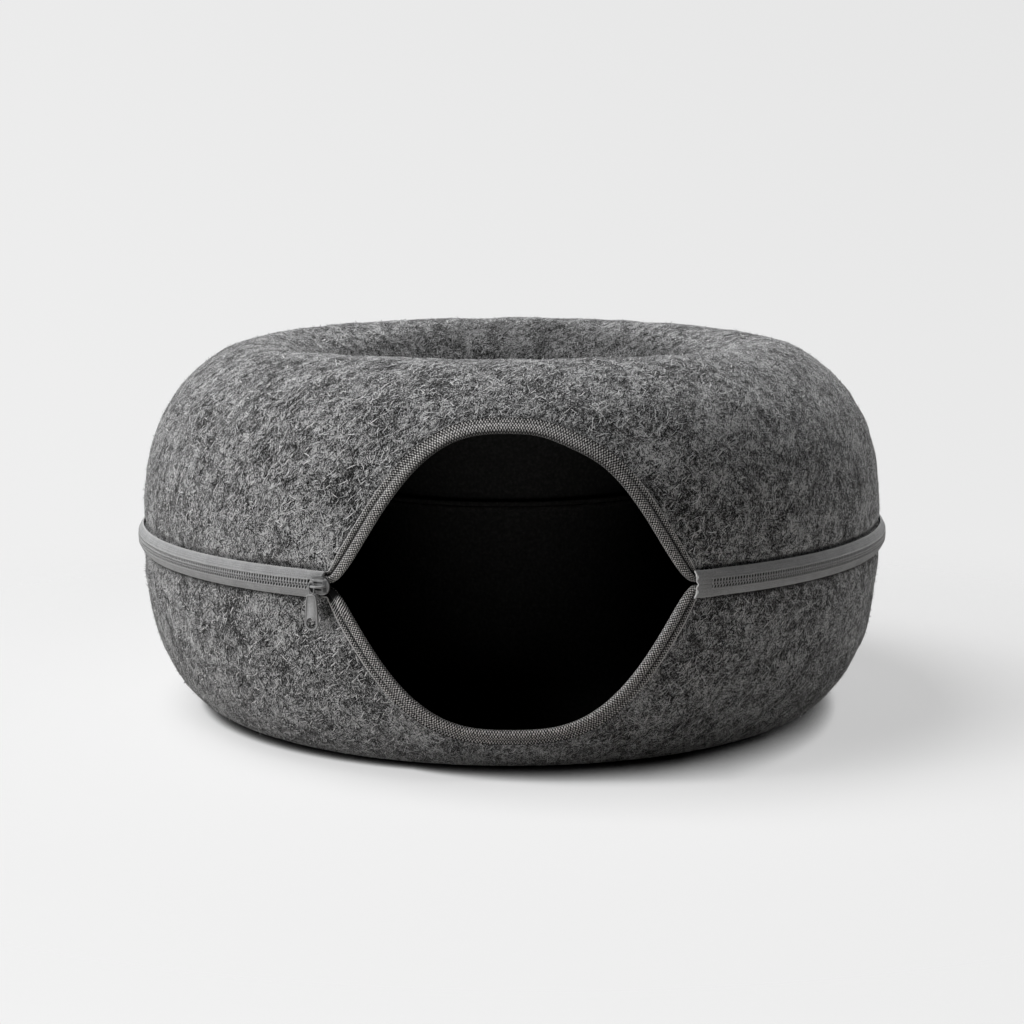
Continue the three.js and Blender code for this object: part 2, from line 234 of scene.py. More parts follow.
def outward(points, grid, caps):
    """The faces of a closed skin, turned so that it points outwards."""
    ring = (points - points.mean(axis=0))[grid]
    cones = np.cross(ring[:, 1], ring[:, 2]) + np.cross(ring[:, 2], ring[:, 3])
    faces = grid.tolist() + caps
    if np.sum(ring[:, 0] * cones) < 0:
        return [face[::-1] for face in faces]
    return faces


def loft(loops, closed_along=False):
    """Points and faces of a skin over closed loops, with end caps unless it is a ring."""
    loops = np.asarray(loops)
    stations, count = loops.shape[:2]
    points = loops.reshape(-1, 3)
    grid = grid_faces(stations, count, closed_along, True)
    last = (stations - 1) * count
    caps = [] if closed_along else [list(range(count)), list(range(last, last + count))[::-1]]
    return points, outward(points, grid, caps)


def joined(parts):
    points, faces, start = [], [], 0
    for some_points, some_faces in parts:
        points.append(some_points)
        faces += [[start + i for i in face] for face in some_faces]
        start += len(some_points)
    return np.vstack(points), faces


def level(flat, high):
    return np.column_stack([flat, np.full(len(flat), high)])


def on_path(places, lengths, points):
    return np.column_stack([np.interp(places, lengths, points[:, k]) for k in range(points.shape[1])])


def spline(controls, count):
    """Evenly spaced points on a smooth curve through the control points."""
    controls = np.asarray(controls, dtype=float)
    padded = np.vstack([2 * controls[0] - controls[1], controls, 2 * controls[-1] - controls[-2]])
    steps = np.linspace(0, 1, SPLINE_STEPS, endpoint=False)[:, None]
    fine = []
    for i in range(1, len(padded) - 2):
        a, b, c, d = padded[i - 1 : i + 3]
        squared = (2 * a - 5 * b + 4 * c - d) * steps**2
        cubed = (3 * b - a - 3 * c + d) * steps**3
        fine.append(0.5 * (2 * b + (c - a) * steps + squared + cubed))
    fine = np.vstack(fine + [controls[-1:]])
    lengths = path_lengths(fine)
    return on_path(np.linspace(0, lengths[-1], count), lengths, fine)


def tube(path, section, up):
    """A skin along a path, its section at each point given as rows of side and rise."""
    way = unit(np.gradient(path, axis=0))
    side = unit(np.cross(np.asarray(up, dtype=float), way))
    rise = np.cross(way, side)
    return loft(path[:, None] + side[:, None] * section[..., :1] + rise[:, None] * section[..., 1:])


def rounded(half_width, half_height, power, count):
    """A rounded rectangle as rows of side and rise."""
    turn = np.linspace(0, TWO_PI, count, endpoint=False)
    side = np.sign(np.cos(turn)) * np.abs(np.cos(turn)) ** (2 / power)
    rise = np.sign(np.sin(turn)) * np.abs(np.sin(turn)) ** (2 / power)
    return np.column_stack([side * half_width, rise * half_height])


# Materials

class Signal:
    """A value in a material's tree, which can be reckoned with."""

    def __init__(self, tree, socket):
        self.tree = tree
        self.socket = socket

    def reckon(self, operation, first, second=0.0):
        return add(self.tree, "Math", {0: first, 1: second}, operation=operation)

    def __add__(self, other):
        return self.reckon("ADD", self, other)

    def __sub__(self, other):
        return self.reckon("SUBTRACT", self, other)

    def __rsub__(self, other):
        return self.reckon("SUBTRACT", other, self)

    def __mul__(self, other):
        return self.reckon("MULTIPLY", self, other)

    def wave(self, step):
        """A cosine that comes round once in each step."""
        return self.reckon("COSINE", self * (TWO_PI / step))

    def remap(self, low, high, to_low=0.0, to_high=1.0):
        limits = {"Value": self, "From Min": low, "From Max": high, "To Min": to_low, "To Max": to_high}
        return add(self.tree, "MapRange", limits, "Result", clamp=True)


def add(tree, kind, inputs=None, output=0, **settings):
    """The output of a new node with its settings, its inputs linked or set."""
    made = tree.nodes.new("ShaderNode" + kind)
    for name, value in settings.items():
        setattr(made, name, value)
    for name, value in (inputs or {}).items():
        if isinstance(value, Signal):
            tree.links.new(value.socket, made.inputs[name])
        else:
            made.inputs[name].default_value = value
    return Signal(tree, made.outputs[output])


def object_place(tree):
    return add(tree, "TexCoord", None, "Object")


def noise(place, scale, detail=2.0, distortion=0.0):
    inputs = {"Vector": place, "Scale": scale, "Detail": detail, "Distortion": distortion}
    return add(place.tree, "TexNoise", inputs, "Fac")


def mark(tree, name):
    """A value that the mesh holds at its points."""
    return add(tree, "Attribute", None, "Fac", attribute_name=name)


def blend(share, first, second):
    """A colour between two, each a signal or a tuple."""
    return add(share.tree, "Mix", {0: share, 6: first, 7: second}, 2, data_type="RGBA")


def grey(value, warm=0.0):
    return (value * (1 + warm), value, value * (1 - warm), 1.0)


def ramp(share, tones, warm):
    """A grey that goes through several tones at an even spacing."""
    made = add(share.tree, "ValToRGB", {"Fac": share}, "Color")
    steps = made.socket.node.color_ramp.elements
    for i, tone in enumerate(tones):
        step = steps[i] if i < 2 else steps.new(1.0)
        step.position = i / (len(tones) - 1)
        step.color = grey(tone, warm)
    return made


class Look:
    """A material of one shader, with the shader's constant values."""

    def __init__(self, name, roughness, **constants):
        self.material = bpy.data.materials.new(name)
        self.material.use_nodes = True
        self.tree = self.material.node_tree
        self.inputs = self.tree.nodes["Principled BSDF"].inputs
        self.inputs["Roughness"].default_value = roughness
        for socket, value in constants.items():
            self.inputs[socket.replace("_", " ")].default_value = value

    def paint(self, colour):
        self.tree.links.new(colour.socket, self.inputs["Base Color"])

    def emboss(self, height, strength, distance):
        inputs = {"Height": height, "Strength": strength, "Distance": distance}
        bump = add(self.tree, "Bump", inputs, "Normal")
        self.tree.links.new(bump.socket, self.inputs["Normal"])


FELT_SHEEN = {"Sheen_Weight": 0.25, "Sheen_Roughness": 0.3, "Specular_IOR_Level": 0.1}
FELT_TONES = (0.012, 0.063, 0.17, 0.335, 0.60)
FELT_WARM = -0.003
FELT_SHADOW = 0.004
FELT_RELIEF = 0.0026
FIBRE_TONES = (0.008, 0.03, 0.12, 0.28, 0.50, 0.75)
# Near-black tones of the felt inside the tunnel, painted as shade
INSIDE_SHADE_TONES = (0.013, 0.030, 0.060)
# Directions of the strands in the felt, as turns about the three axes in degrees
STRAND_TURNS = [(0, 48, 0), (0, -52, 8), (0, 84, 15), (12, 40, 90), (-10, -46, 84), (0, 4, 38)]
STRAND_SHIFT = (0.013, 0.029, -0.017)
STRAND_SIZE = (0.0085, 0.0008, 0.0008)
STRAND_CURL = 0.2
STRAND_WEIGHT = 3.8
GRAIN_WEIGHT = 2.6
CLUMP_WEIGHT = 1.7
DRIFT_WEIGHT = 1.2
GRAIN_RELIEF = 0.7
FINE_SCALE = 1500.0
CLUMP_SCALE = 170.0
DRIFT_SCALE = 45.0
FELT_SPAN = (-0.6, 0.6)
INSIDE_SCALE = 500.0


def felt_material():
    """Needled melange felt: fibres of several greys lying every way over one another."""
    look = Look("felt", 1.0, **FELT_SHEEN)
    place = object_place(look.tree)
    strands = []
    for i, turn in enumerate(STRAND_TURNS):
        inputs = {
            "Vector": place,
            "Location": tuple(i * shift for shift in STRAND_SHIFT),
            "Rotation": tuple(math.radians(angle) for angle in turn),
            "Scale": STRAND_SIZE,
        }
        mapped = add(look.tree, "Mapping", inputs, vector_type="TEXTURE")
        strands.append(noise(mapped, 1.0, 1.0, STRAND_CURL))
    high = low = strands[0]
    for strand in strands[1:]:
        high = high.reckon("MAXIMUM", high, strand)
        low = low.reckon("MINIMUM", low, strand)
    grain = noise(place, FINE_SCALE, 1.0)
    clumps = noise(place, CLUMP_SCALE)
    drift = noise(place, DRIFT_SCALE, 1.0)
    value = (high + low - 1.0) * STRAND_WEIGHT + (grain - 0.5) * GRAIN_WEIGHT
    value = value + (clumps - 0.5) * CLUMP_WEIGHT + (drift - 0.5) * DRIFT_WEIGHT
    tone = ramp(value.remap(*FELT_SPAN), FELT_TONES, FELT_WARM)
    # Painted shade: the shade mark darkens the felt beside the zip tape, behind the pull and down in the
    # well
    look.paint(blend(mark(look.tree, "shade"), tone, grey(FELT_SHADOW)))
    look.emboss(clumps + grain * GRAIN_RELIEF, 1.0, FELT_RELIEF)
    return look.material


def fibre_material():
    """Single fibres, each in its own grey."""
    look = Look("felt_fibres", 0.9, **FELT_SHEEN)
    look.paint(ramp(mark(look.tree, "tone"), FIBRE_TONES, FELT_WARM))
    return look.material


def dark_felt_material():
    """The felt's face inside the tunnel, painted near-black as shade where little light reaches."""
    look = Look("felt_inside", 1.0, Specular_IOR_Level=0.05)
    look.paint(ramp(noise(object_place(look.tree), INSIDE_SCALE), INSIDE_SHADE_TONES, 0.0))
    return look.material


WEAVE_ALONG = 0.85
WEAVE_ACROSS = 1.05
WEAVE_WANDER = 0.55
RIB_STEP = 1.75
RIB_SLANT = 0.55
FLUFF = 0.3
FLUFF_SPAN = (0.3, 0.7)
FLUFF_RELIEF = (0.4, 0.0004)
WANDER_SCALE = 420.0
DOT_SPAN = (-0.8, 0.8)
RIB_SPAN = (-0.9, 0.9)
LIP_HIGHLIGHT_SPAN = (0.5, 0.9)
BINDING_WARM = 0.015
BINDING_TONES = (0.008, 0.035, 0.22, 0.75)
# Painted highlight along the binding's lip
LIP_HIGHLIGHT_TONE = grey(0.95, 0.01)
# Painted shade in the binding's crease, under its lip and on the thin end of its roll
CREASE_SHADE_TONE = grey(0.008)
SELVEDGE_TONE = grey(0.48, 0.01)


def binding_material():
    """Woven tape: a lattice of raised threads, ribs at one end, a pale selvedge, a painted highlight
    along its lip and painted shade in its crease, under its lip and on its thin end.
    """
    look = Look("binding", 0.85, Sheen_Weight=0.1, Specular_IOR_Level=0.25)
    tree = look.tree
    place = object_place(tree)
    across = mark(tree, "across")
    ribbed = mark(tree, "ribbed")
    along = mark(tree, "along") + noise(place, WANDER_SCALE, 1.0) * (2 * WEAVE_WANDER)
    dots = (along.wave(2 * WEAVE_ALONG) * across.wave(2 * WEAVE_ACROSS)).remap(*DOT_SPAN)
    ribs = (along + across * RIB_SLANT).wave(RIB_STEP).remap(*RIB_SPAN)
    fluff = noise(place, FINE_SCALE)
    pattern = dots * (1.0 - ribbed) + ribs * ribbed + fluff.remap(*FLUFF_SPAN, -FLUFF, FLUFF)
    threads = ramp(pattern, BINDING_TONES, BINDING_WARM)
    # Painted highlight: the lip mark lightens the bright threads along the binding's lip
    lit = blend(mark(tree, "lip") * pattern.remap(*LIP_HIGHLIGHT_SPAN), threads, LIP_HIGHLIGHT_TONE)
    # Painted shade: the crease mark darkens the crease, the underside of the lip and the thin end
    crease_shaded = blend(mark(tree, "crease"), lit, CREASE_SHADE_TONE)
    look.paint(blend(mark(tree, "selvedge"), crease_shaded, SELVEDGE_TONE))
    look.emboss(fluff, *FLUFF_RELIEF)
    return look.material


TAPE_LINES = 1.2
TAPE_TONES = (0.17, 0.30, 0.43)
TAPE_WARM = -0.008
TAPE_RELIEF = (0.3, 0.0002)
LINE_TONES = (0.44, 0.54)
STREAK_WEIGHT = 0.8
PATCH_WEIGHT = 0.5
PATCH_SCALE = 120.0
TAPE_RIM = (7.5, 8.1)
TAPE_RIM_SHARE = 0.7
TAPE_RIM_TONE = 0.42
TAPE_CUT_TONE = 0.85


def tape_material():
    """Zip tape: satin weave with fine lines along it and a paler cut end."""
    look = Look("zip_tape", 0.8, Sheen_Weight=0.02, Sheen_Roughness=0.4, Specular_IOR_Level=0.05)
    place = object_place(look.tree)
    across = mark(look.tree, "across")
    lines = across.wave(TAPE_LINES)
    streaks = noise(place, FINE_SCALE, 1.0) - 0.5
    patches = noise(place, PATCH_SCALE) - 0.5
    value = lines.remap(-1, 1, *LINE_TONES) + streaks * STREAK_WEIGHT + patches * PATCH_WEIGHT
    woven = ramp(value, TAPE_TONES, TAPE_WARM)
    edged = blend(across.remap(*TAPE_RIM, 0.0, TAPE_RIM_SHARE), woven, grey(TAPE_RIM_TONE))
    look.paint(blend(mark(look.tree, "cut"), edged, grey(TAPE_CUT_TONE)))
    look.emboss(lines + streaks, *TAPE_RELIEF)
    return look.material


SPECK_DETAIL = 3.0
SPECK_SPAN = (0.25, 0.75)
SPECK_RELIEF = 0.0002
PLAIN_WARM = -0.005
PLAIN_SHADOW = 0.006


def plain_material(name, tones, roughness, scale, relief):
    """One finish with a little unevenness in its tone and face."""
    look = Look(name, roughness, Specular_IOR_Level=0.4)
    specks = noise(object_place(look.tree), scale, SPECK_DETAIL)
    tone = ramp(specks.remap(*SPECK_SPAN), tones, PLAIN_WARM)
    # Painted shade where the points hold a shade mark, as on the slider and the pull
    look.paint(blend(mark(look.tree, "shade"), tone, grey(PLAIN_SHADOW)))
    look.emboss(specks, relief, SPECK_RELIEF)
    return look.material


FELT = felt_material()
FIBRES = fibre_material()
FELT_INSIDE_SHADED = dark_felt_material()
BINDING = binding_material()
# Thread painted near-black, standing for stitches that lie in shade
THREAD_IN_SHADE = plain_material("thread", (0.010, 0.018, 0.030), 0.7, 2600.0, 0.3)
TAPE = tape_material()
TEETH = plain_material("zip_teeth", (0.27, 0.32, 0.38), 0.5, 900.0, 0.2)
# Near-black bed under the teeth: painted shade that shows in the gaps between them
CHAIN_BED_SHADE = plain_material("zip_bed", (0.010, 0.018, 0.028), 0.8, 1500.0, 0.3)
METAL = plain_material("zip_metal", (0.275, 0.325, 0.375), 0.36, 700.0, 0.15)


# Felt shells

OPENING_COLUMNS = 70
CLOSED_COLUMNS = 260
EVEN_SHARE = 0.55
OUTER_ROWS = 80
INNER_ROWS = 36
ROW_CROWDING = 0.75
BROAD_LUMPS = 46.0
BROAD_LUMPS_HIGH = 0.30
SMALL_LUMPS = 17.0
SMALL_LUMPS_HIGH = 0.16
WAVE_COUNT = 24
WAVE_SPREAD = (0.7, 1.4)
CALM_AT_EDGE = (8, 30)
CALM_AT_SEAM = (4, 25)
CALM_AT_FLOOR = (3, 25)
CREASE_DIP = 0.8
CREASE_DIP_REACH = (0.55 * BINDING_FACE, 1.05 * BINDING_FACE)
CREASE_ANGLES = (0.45 * CORNER_ANGLE, 0.88 * CORNER_ANGLE)
TUCK_PLACE = 9.0
TUCK_DEPTH = 1.7
TUCK_WIDTH = 1.9
# Painted shade in a thin line on the felt along the zip tape's edges: full on the lower half, and on the
# upper half darker on the right than on the left
GROOVE_PLACE = 8.9
GROOVE_WIDTH = 1.1
UPPER_GROOVE_SHADES = (0.3, 0.85)
LOWER_GROOVE_SHADES = (1.0, 1.0)
# Painted shadow on the lower felt behind the pull, where fewer fibres lie so that it shows
PULL_SHADOW_PLACE = -113.5
PULL_SHADOW_ALONG = 16.0
PULL_SHADOW_WIDE = 5.0
PULL_SHADOW_LONG = 8.0
PULL_SHADOW_DARKNESS = 0.8
PULL_SHADOW_BARE = (0.1, 0.9)
SEAM_ROLL = 1.6
# Painted shade down in the well, on the felt and on its fibres
WELL_SHADE = 0.46
WELL_FAR_ANGLES = (2.1, 3.0)
WELL_FAR_START = 8.0
WELL_SIDE_START = 26.0
WELL_SHADE_REACH = 14.0


def shell_angles():
    share = np.linspace(-1, 1, 2 * OPENING_COLUMNS + 1)
    crowded = np.sin(share * np.pi / 2)
    opening = CORNER_ANGLE * (EVEN_SHARE * share + (1 - EVEN_SHARE) * crowded)
    closed = np.linspace(CORNER_ANGLE, TWO_PI - CORNER_ANGLE, CLOSED_COLUMNS + 2)[1:-1]
    return np.concatenate([opening, closed])


def crowd(count):
    """Shares from 0 to 1, closer together at both ends."""
    even = np.linspace(0, 1, count)
    return even - ROW_CROWDING / TWO_PI * np.sin(TWO_PI * even)


def signed(angle):
    """Angle from the middle of the opening, less than half a turn to the left or right."""
    return (np.asarray(angle) + np.pi) % TWO_PI - np.pi


def to_middle(angle):
    return np.abs(signed(angle))


def closed_share(angle):
    """0 in the opening and 1 where the zip joins the halves."""
    return ease(to_middle(angle), CORNER_ANGLE, CORNER_ANGLE + CORNER_SOFT)


def edge_at(half, angle):
    """Where the felt begins: at the opening's cut edge, and elsewhere beside the zip."""
    return half.edge(np.clip(signed(angle), -CORNER_ANGLE, CORNER_ANGLE))


def from_edge(half, angle, along):
    """Distance from the opening's cut edge, square to it."""
    nearby = 0.002
    change = edge_at(half, angle + nearby) - edge_at(half, angle - nearby)
    slope = change / (2 * nearby * RING_RADIUS)
    return (along - edge_at(half, angle)) / np.hypot(1, slope)


def creasing(angle):
    """How deep the binding's crease is, from 0 at the crown to 1 at the corners."""
    return ease(to_middle(angle), *CREASE_ANGLES)


def make_waves(wavelength, rng):
    """A smooth uneven height in space, about 1 high."""
    ways = rng.normal(size=(WAVE_COUNT, 3))
    lengths = wavelength * rng.uniform(*WAVE_SPREAD, size=WAVE_COUNT)
    ways *= (TWO_PI / (np.linalg.norm(ways, axis=1) * lengths))[:, None]
    starts = rng.uniform(0, TWO_PI, size=WAVE_COUNT)

    def height(points):
        total = np.zeros(points.shape[:-1])
        for way, start in zip(ways, starts):
            total += np.sin(points @ way + start)
        return total / math.sqrt(WAVE_COUNT / 2)

    return height


def make_relief(half, seed):
    """The felt's own unevenness: soft lumps, the tuck beside the zip, the roll into the well's seam."""
    rng = np.random.default_rng(seed)
    broad = make_waves(BROAD_LUMPS, rng)
    small = make_waves(SMALL_LUMPS, rng)
    end = half.length - SEAM_GAP

    def relief(angle, along):
        angle, along = np.broadcast_arrays(angle, along)
        base = half.surface(angle, along, 0)
        inside = from_edge(half, angle, along)
        closed = closed_share(angle)
        tuck = TUCK_DEPTH * closed * bell(along, TUCK_PLACE, TUCK_WIDTH)
        roll = SEAM_ROLL * np.exp(-(end - along) / SEAM_ROLL)
        under = 1 - ease(inside, *CREASE_DIP_REACH)
        dip = CREASE_DIP * under * creasing(angle) * (1 - closed)
        calm = ease(inside, *CALM_AT_EDGE) * ease(end - along, *CALM_AT_SEAM)
        calm *= ease(base[..., 2], *CALM_AT_FLOOR)
        lumps = BROAD_LUMPS_HIGH * broad(base) + SMALL_LUMPS_HIGH * small(base)
        return lumps * calm - tuck - roll - dip

    return relief


UPPER.relief = make_relief(UPPER, 11)
LOWER.relief = make_relief(LOWER, 12)


def pull_shadow_share(half, angle, along):
    """How much painted shadow a place on the lower felt gets, in a patch behind the pull."""
    aside = (signed(angle) * RING_RADIUS - PULL_SHADOW_PLACE) / PULL_SHADOW_WIDE
    down = (along - PULL_SHADOW_ALONG) / PULL_SHADOW_LONG
    return (half.turn < 0) * np.exp(-(aside**2) - down**2)


def well_share(half, angle, along):
    """How far a place lies in the well's painted shade, which starts higher on its far wall."""
    start = between(WELL_SIDE_START, WELL_FAR_START, ease(to_middle(angle), *WELL_FAR_ANGLES))
    return ease(along - half.crest - start, 0, WELL_SHADE_REACH)


def felt_shell(half, groove_shades):
    angles = shell_angles()[:, None]
    edge = edge_at(half, angles)
    end = half.length - SEAM_GAP
    along = between(edge, end, crowd(OUTER_ROWS)[None, :])
    outside = half.surface(angles, along, half.relief(angles, along))
    back = between(edge, half.length - SEAM_THICK, crowd(INNER_ROWS)[None, ::-1])
    closed = closed_share(angles)
    bound = (1 - ease(from_edge(half, angles, back), 0, BINDING_FACE)) * (1 - closed)
    inside = half.surface(angles, back, -between(FELT_THICK, FELT_EDGE_THICK, bound))
    flange = half.surface(angles, np.array([[end, end - SEAM_THICK]]), -FELT_THICK - SEAM_FLANGE)
    loops = np.concatenate([outside, flange, inside], axis=1)
    stations, count = loops.shape[:2]
    points = loops.reshape(-1, 3)
    faces = grid_faces(stations, count, True, True)
    first = points[faces[0]]
    foot, tip = half.surface(angles[0, 0], edge[0, 0], np.array([0.0, 1.0]))
    if np.dot(np.cross(first[1] - first[0], first[3] - first[0]), tip - foot) < 0:
        faces = faces[:, ::-1]
    # Painted shade along the tape's edge, on the upper half darker towards the right
    painted_groove_shade = closed * bell(along, GROOVE_PLACE, GROOVE_WIDTH)
    painted_groove_shade *= between(*groove_shades, (1 + np.sin(angles)) / 2)
    # Painted shadow of the pull
    painted_shade_spot = PULL_SHADOW_DARKNESS * pull_shadow_share(half, angles, along)
    # Painted shade in the well
    well = WELL_SHADE * well_share(half, angles, along)
    # Painted shade at the felt's outer points, the strongest of the three kinds at each point
    shade = np.zeros(loops.shape[:2])
    shade[:, :OUTER_ROWS] = np.maximum(np.maximum(painted_groove_shade, painted_shade_spot), well)
    name, node = f"{half.name}_felt", f"{half.name}_shell"
    marks = {"shade": shade}
    made = piece(name, points, faces.tolist(), [FELT, FELT_INSIDE_SHADED], marks, node)
    around = faces.min(axis=1) % count
    # Faces inside the tunnel take the felt painted near-black as shade
    dark = (around >= OUTER_ROWS - 1) & (around < count - 1)
    made.data.polygons.foreach_set("material_index", dark.astype(np.int32))
    return made


upper_felt = felt_shell(UPPER, UPPER_GROOVE_SHADES)
lower_felt = felt_shell(LOWER, LOWER_GROOVE_SHADES)


# Loose fibres on the felt

FIBRE_STATIONS = np.array([[-1.0, -0.4, 0.4, 1.0]])
FIBRE_SIDES = np.array([[0.0, 1.0, 1.0, 0.0]])
FIBRE_FACES = [[0, 4, 1], [1, 4, 5, 2], [2, 5, 3]]
FIBRES_A_PIECE = 28000
FIBRE_REACH = (1.2, 4.2)
FIBRE_WIDTH = (0.09, 0.25)
FIBRE_RISE = (0.12, 0.5)
FIBRE_SINK = 0.1
FIBRE_LEAN = (0.85, 0.35)
LEANING_SHARE = 0.52
FIBRE_BEND = 0.10
TONE_SPREAD = 0.6
LOOSE_SHARE = 0.16
LOOSE_RISE = (0.4, 2.0)
WELL_FIBRE_SHADE = 0.3
FREE_OF_SEAM = 4.0
FREE_OF_FLOOR = 6.0
FREE_OF_BINDING = 1.5
FREE_OF_ZIP = 11.5
NEAREST_ZIP = 9.0
NEAREST_SEAM = 1.0


def fibre_places(half, count, rng):
    """Evenly spread places on the felt that shows."""
    tries = 3 * count
    angle = rng.uniform(-np.pi, np.pi, size=tries)
    along = rng.uniform(0, half.length - FREE_OF_SEAM, size=tries)
    radius, height = half.smooth(along)
    shown = rng.uniform(size=tries) < radius / RING_RADIUS
    shown &= height > FREE_OF_FLOOR
    shown &= from_edge(half, angle, along) > BINDING_FACE + FREE_OF_BINDING
    shown &= (along > FREE_OF_ZIP) | (to_middle(angle) < CORNER_ANGLE)
    # Fewer fibres in the pull's painted shadow
    shown &= pull_shadow_share(half, angle, along) < rng.uniform(*PULL_SHADOW_BARE, size=tries)
    kept = np.flatnonzero(shown)[:count]
    return angle[kept], along[kept]


def fibre_piece(half, lot, seed):
    """Short fibres lying on the felt every way, some with a loose end."""
    rng = np.random.default_rng(seed)
    angle, along = (part[:, None] for part in fibre_places(half, FIBRES_A_PIECE, rng))
    size = angle.shape
    reach = rng.uniform(*FIBRE_REACH, size=size)
    leaning = half.turn * rng.normal(*FIBRE_LEAN, size=size)
    leans = rng.uniform(size=size) < LEANING_SHARE
    heading = np.where(leans, leaning, rng.uniform(0, np.pi, size=size))
    bend = rng.normal(0, FIBRE_BEND, size=size)
    width = rng.uniform(*FIBRE_WIDTH, size=size)
    tone = rng.beta(TONE_SPREAD, TONE_SPREAD, size=size)
    rise = rng.uniform(*FIBRE_RISE, size=size)
    is_loose = rng.uniform(size=size) < LOOSE_SHARE
    loose = np.where(is_loose, rng.uniform(*LOOSE_RISE, size=size), 0)
    # Fibres in the well darkened as painted shade
    tone *= 1 - WELL_FIBRE_SHADE * well_share(half, angle, along)
    step = FIBRE_STATIONS
    ahead = reach * step
    aside = reach * bend * step**2
    turn = heading + 2 * bend * step
    high = rise * (1 - step**2) - FIBRE_SINK + loose * np.maximum(step, 0) ** 2
    radius = half.smooth(along)[0]
    rows = []
    for side in (-1, 1):
        off = side * width * FIBRE_SIDES
        over = ahead * np.cos(heading) - aside * np.sin(heading) - off * np.sin(turn)
        up = ahead * np.sin(heading) + aside * np.cos(heading) + off * np.cos(turn)
        place_angle = angle + over / radius
        place_along = np.clip(along + up, NEAREST_ZIP, half.length - NEAREST_SEAM)
        lift = half.relief(place_angle, place_along)
        rows.append(half.surface(place_angle, place_along, lift + high))
    left, right = rows
    points = np.concatenate([left, right[:, 1:-1]], axis=1)
    start = (np.arange(len(points)) * points.shape[1])[:, None]
    faces = []
    for face in FIBRE_FACES:
        faces += (start + np.array(face)[None, :]).tolist()
    marks = {"tone": np.repeat(tone, points.shape[1])}
    piece(f"{half.name}_fibres_{lot}", points.reshape(-1, 3), faces, [FIBRES], marks)


fibre_piece(UPPER, "a", 21)
fibre_piece(UPPER, "b", 22)
fibre_piece(LOWER, "a", 23)
fibre_piece(LOWER, "b", 24)


# Bindings

BINDING_SPACING = 0.425
BINDING_SOFTENING = 18.0
EDGE_STEPS = 6000
WEAVE_RELIEF = 0.13
WEAVE_COARSER = 0.36
FRONT_POINTS = 34
BACK_POINTS = 7
LINING_POINTS = 8
CREASE_SHARE = 0.58
CREASE_SHIFT = 0.1
CREASE_WIDE = 0.7
CREASE_LEAST = 0.25
RIBBED_CREASE = 0.6
LIP_PLACE = -0.3
UNDER_PLACE = -0.9
LIP_WIDE = 1.0
RIBBED_END = (18.0, 30.0)
BLUNT_END = (10.0, 13.5)
PLUMP = 0.3
PLUMP_PLACE = 15.0
PLUMP_REACH = 9.0
STITCH_LENGTH = 1.9
STITCH_GAP = 0.8
STITCH_RADIUS = 0.36
STITCH_INSET = 0.6
STITCH_HIGH = 0.78
STITCH_DIVE = 0.55
STITCH_SHARE = 0.6
STITCH_POINTS = 6
STITCH_TIP = 0.35
STITCH_ENDS = (0.08, 0.92)


def bound_edge(half):
    """Stations along the opening's edge: angle, place, radius, way into the felt, distance along it."""
    reach = BINDING_REACH / RING_RADIUS
    fine = np.linspace(-reach, reach, EDGE_STEPS + 1)
    radius = half.smooth(half.edge(fine))[0]
    lengths = path_lengths(np.column_stack([fine * radius.mean(), half.edge(fine)]))
    distance = np.linspace(0, lengths[-1], int(lengths[-1] / BINDING_SPACING) + 1)
    angle = np.interp(distance, lengths, fine)
    along = half.edge(angle)
    radius = half.smooth(along)[0]
    inward = unit(np.column_stack([-np.gradient(along), np.gradient(angle) * radius]))
    window = int(BINDING_SOFTENING / BINDING_SPACING) | 1
    padded = np.pad(inward, ((window // 2, window // 2), (0, 0)), mode="edge")
    kernel = np.hanning(window + 2)[1:-1]
    kernel /= kernel.sum()
    soft = np.column_stack([np.convolve(padded[:, k], kernel, mode="valid") for k in (0, 1)])
    return angle, along, radius, unit(soft), distance


def face_width(angle):
    share = ease(np.abs(angle) * RING_RADIUS, BINDING_TAPER, BINDING_REACH)
    return between(BINDING_FACE, BINDING_FACE_END, share)


def binding_section(face, deep, full):
    """The folded tape across the edge: front, back and lining, as distance into the felt and height."""
    crease = CREASE_SHARE * face
    floor = 0.5 - 0.95 * deep
    front = [
        (face, 0.10), (face + 0.05, 0.50), (face - 0.40, 0.78), (face - 0.95, 0.62),
        (crease + 1.3, 0.62 - 0.35 * deep), (crease + 0.5, floor + 0.1), (crease - 0.1, floor + 0.05),
        (crease - 0.9, 0.15 + 0.7 * full), (0.38 * face, 0.25 + (1.0 + 0.25 * deep) * full),
        (0.16 * face, 0.25 + (1.1 + 0.25 * deep) * full), (0.2 - 0.7 * full, 0.15 + 0.8 * full),
        (-0.5 - 0.7 * full, -0.15), (-0.6 - 0.65 * full, -1.4),
    ]
    back = [front[-1], (-0.7, -2.5), (0.6, -3.0), (3.0, -3.2), (0.72 * face, -3.35)]
    lining = [
        (0.72 * face, -2.9), (3.0, -2.7), (0.3, -2.4), (-0.6, -1.0), (-0.5, -0.1),
        (0.8, 0.25 - 0.2 * deep), (crease - 0.1, floor - 0.4), (face - 0.3, -0.05 - 0.25 * deep),
    ]
    parts = [spline(front, FRONT_POINTS), spline(back, BACK_POINTS)[1:], spline(lining, LINING_POINTS)]
    return np.vstack(parts)


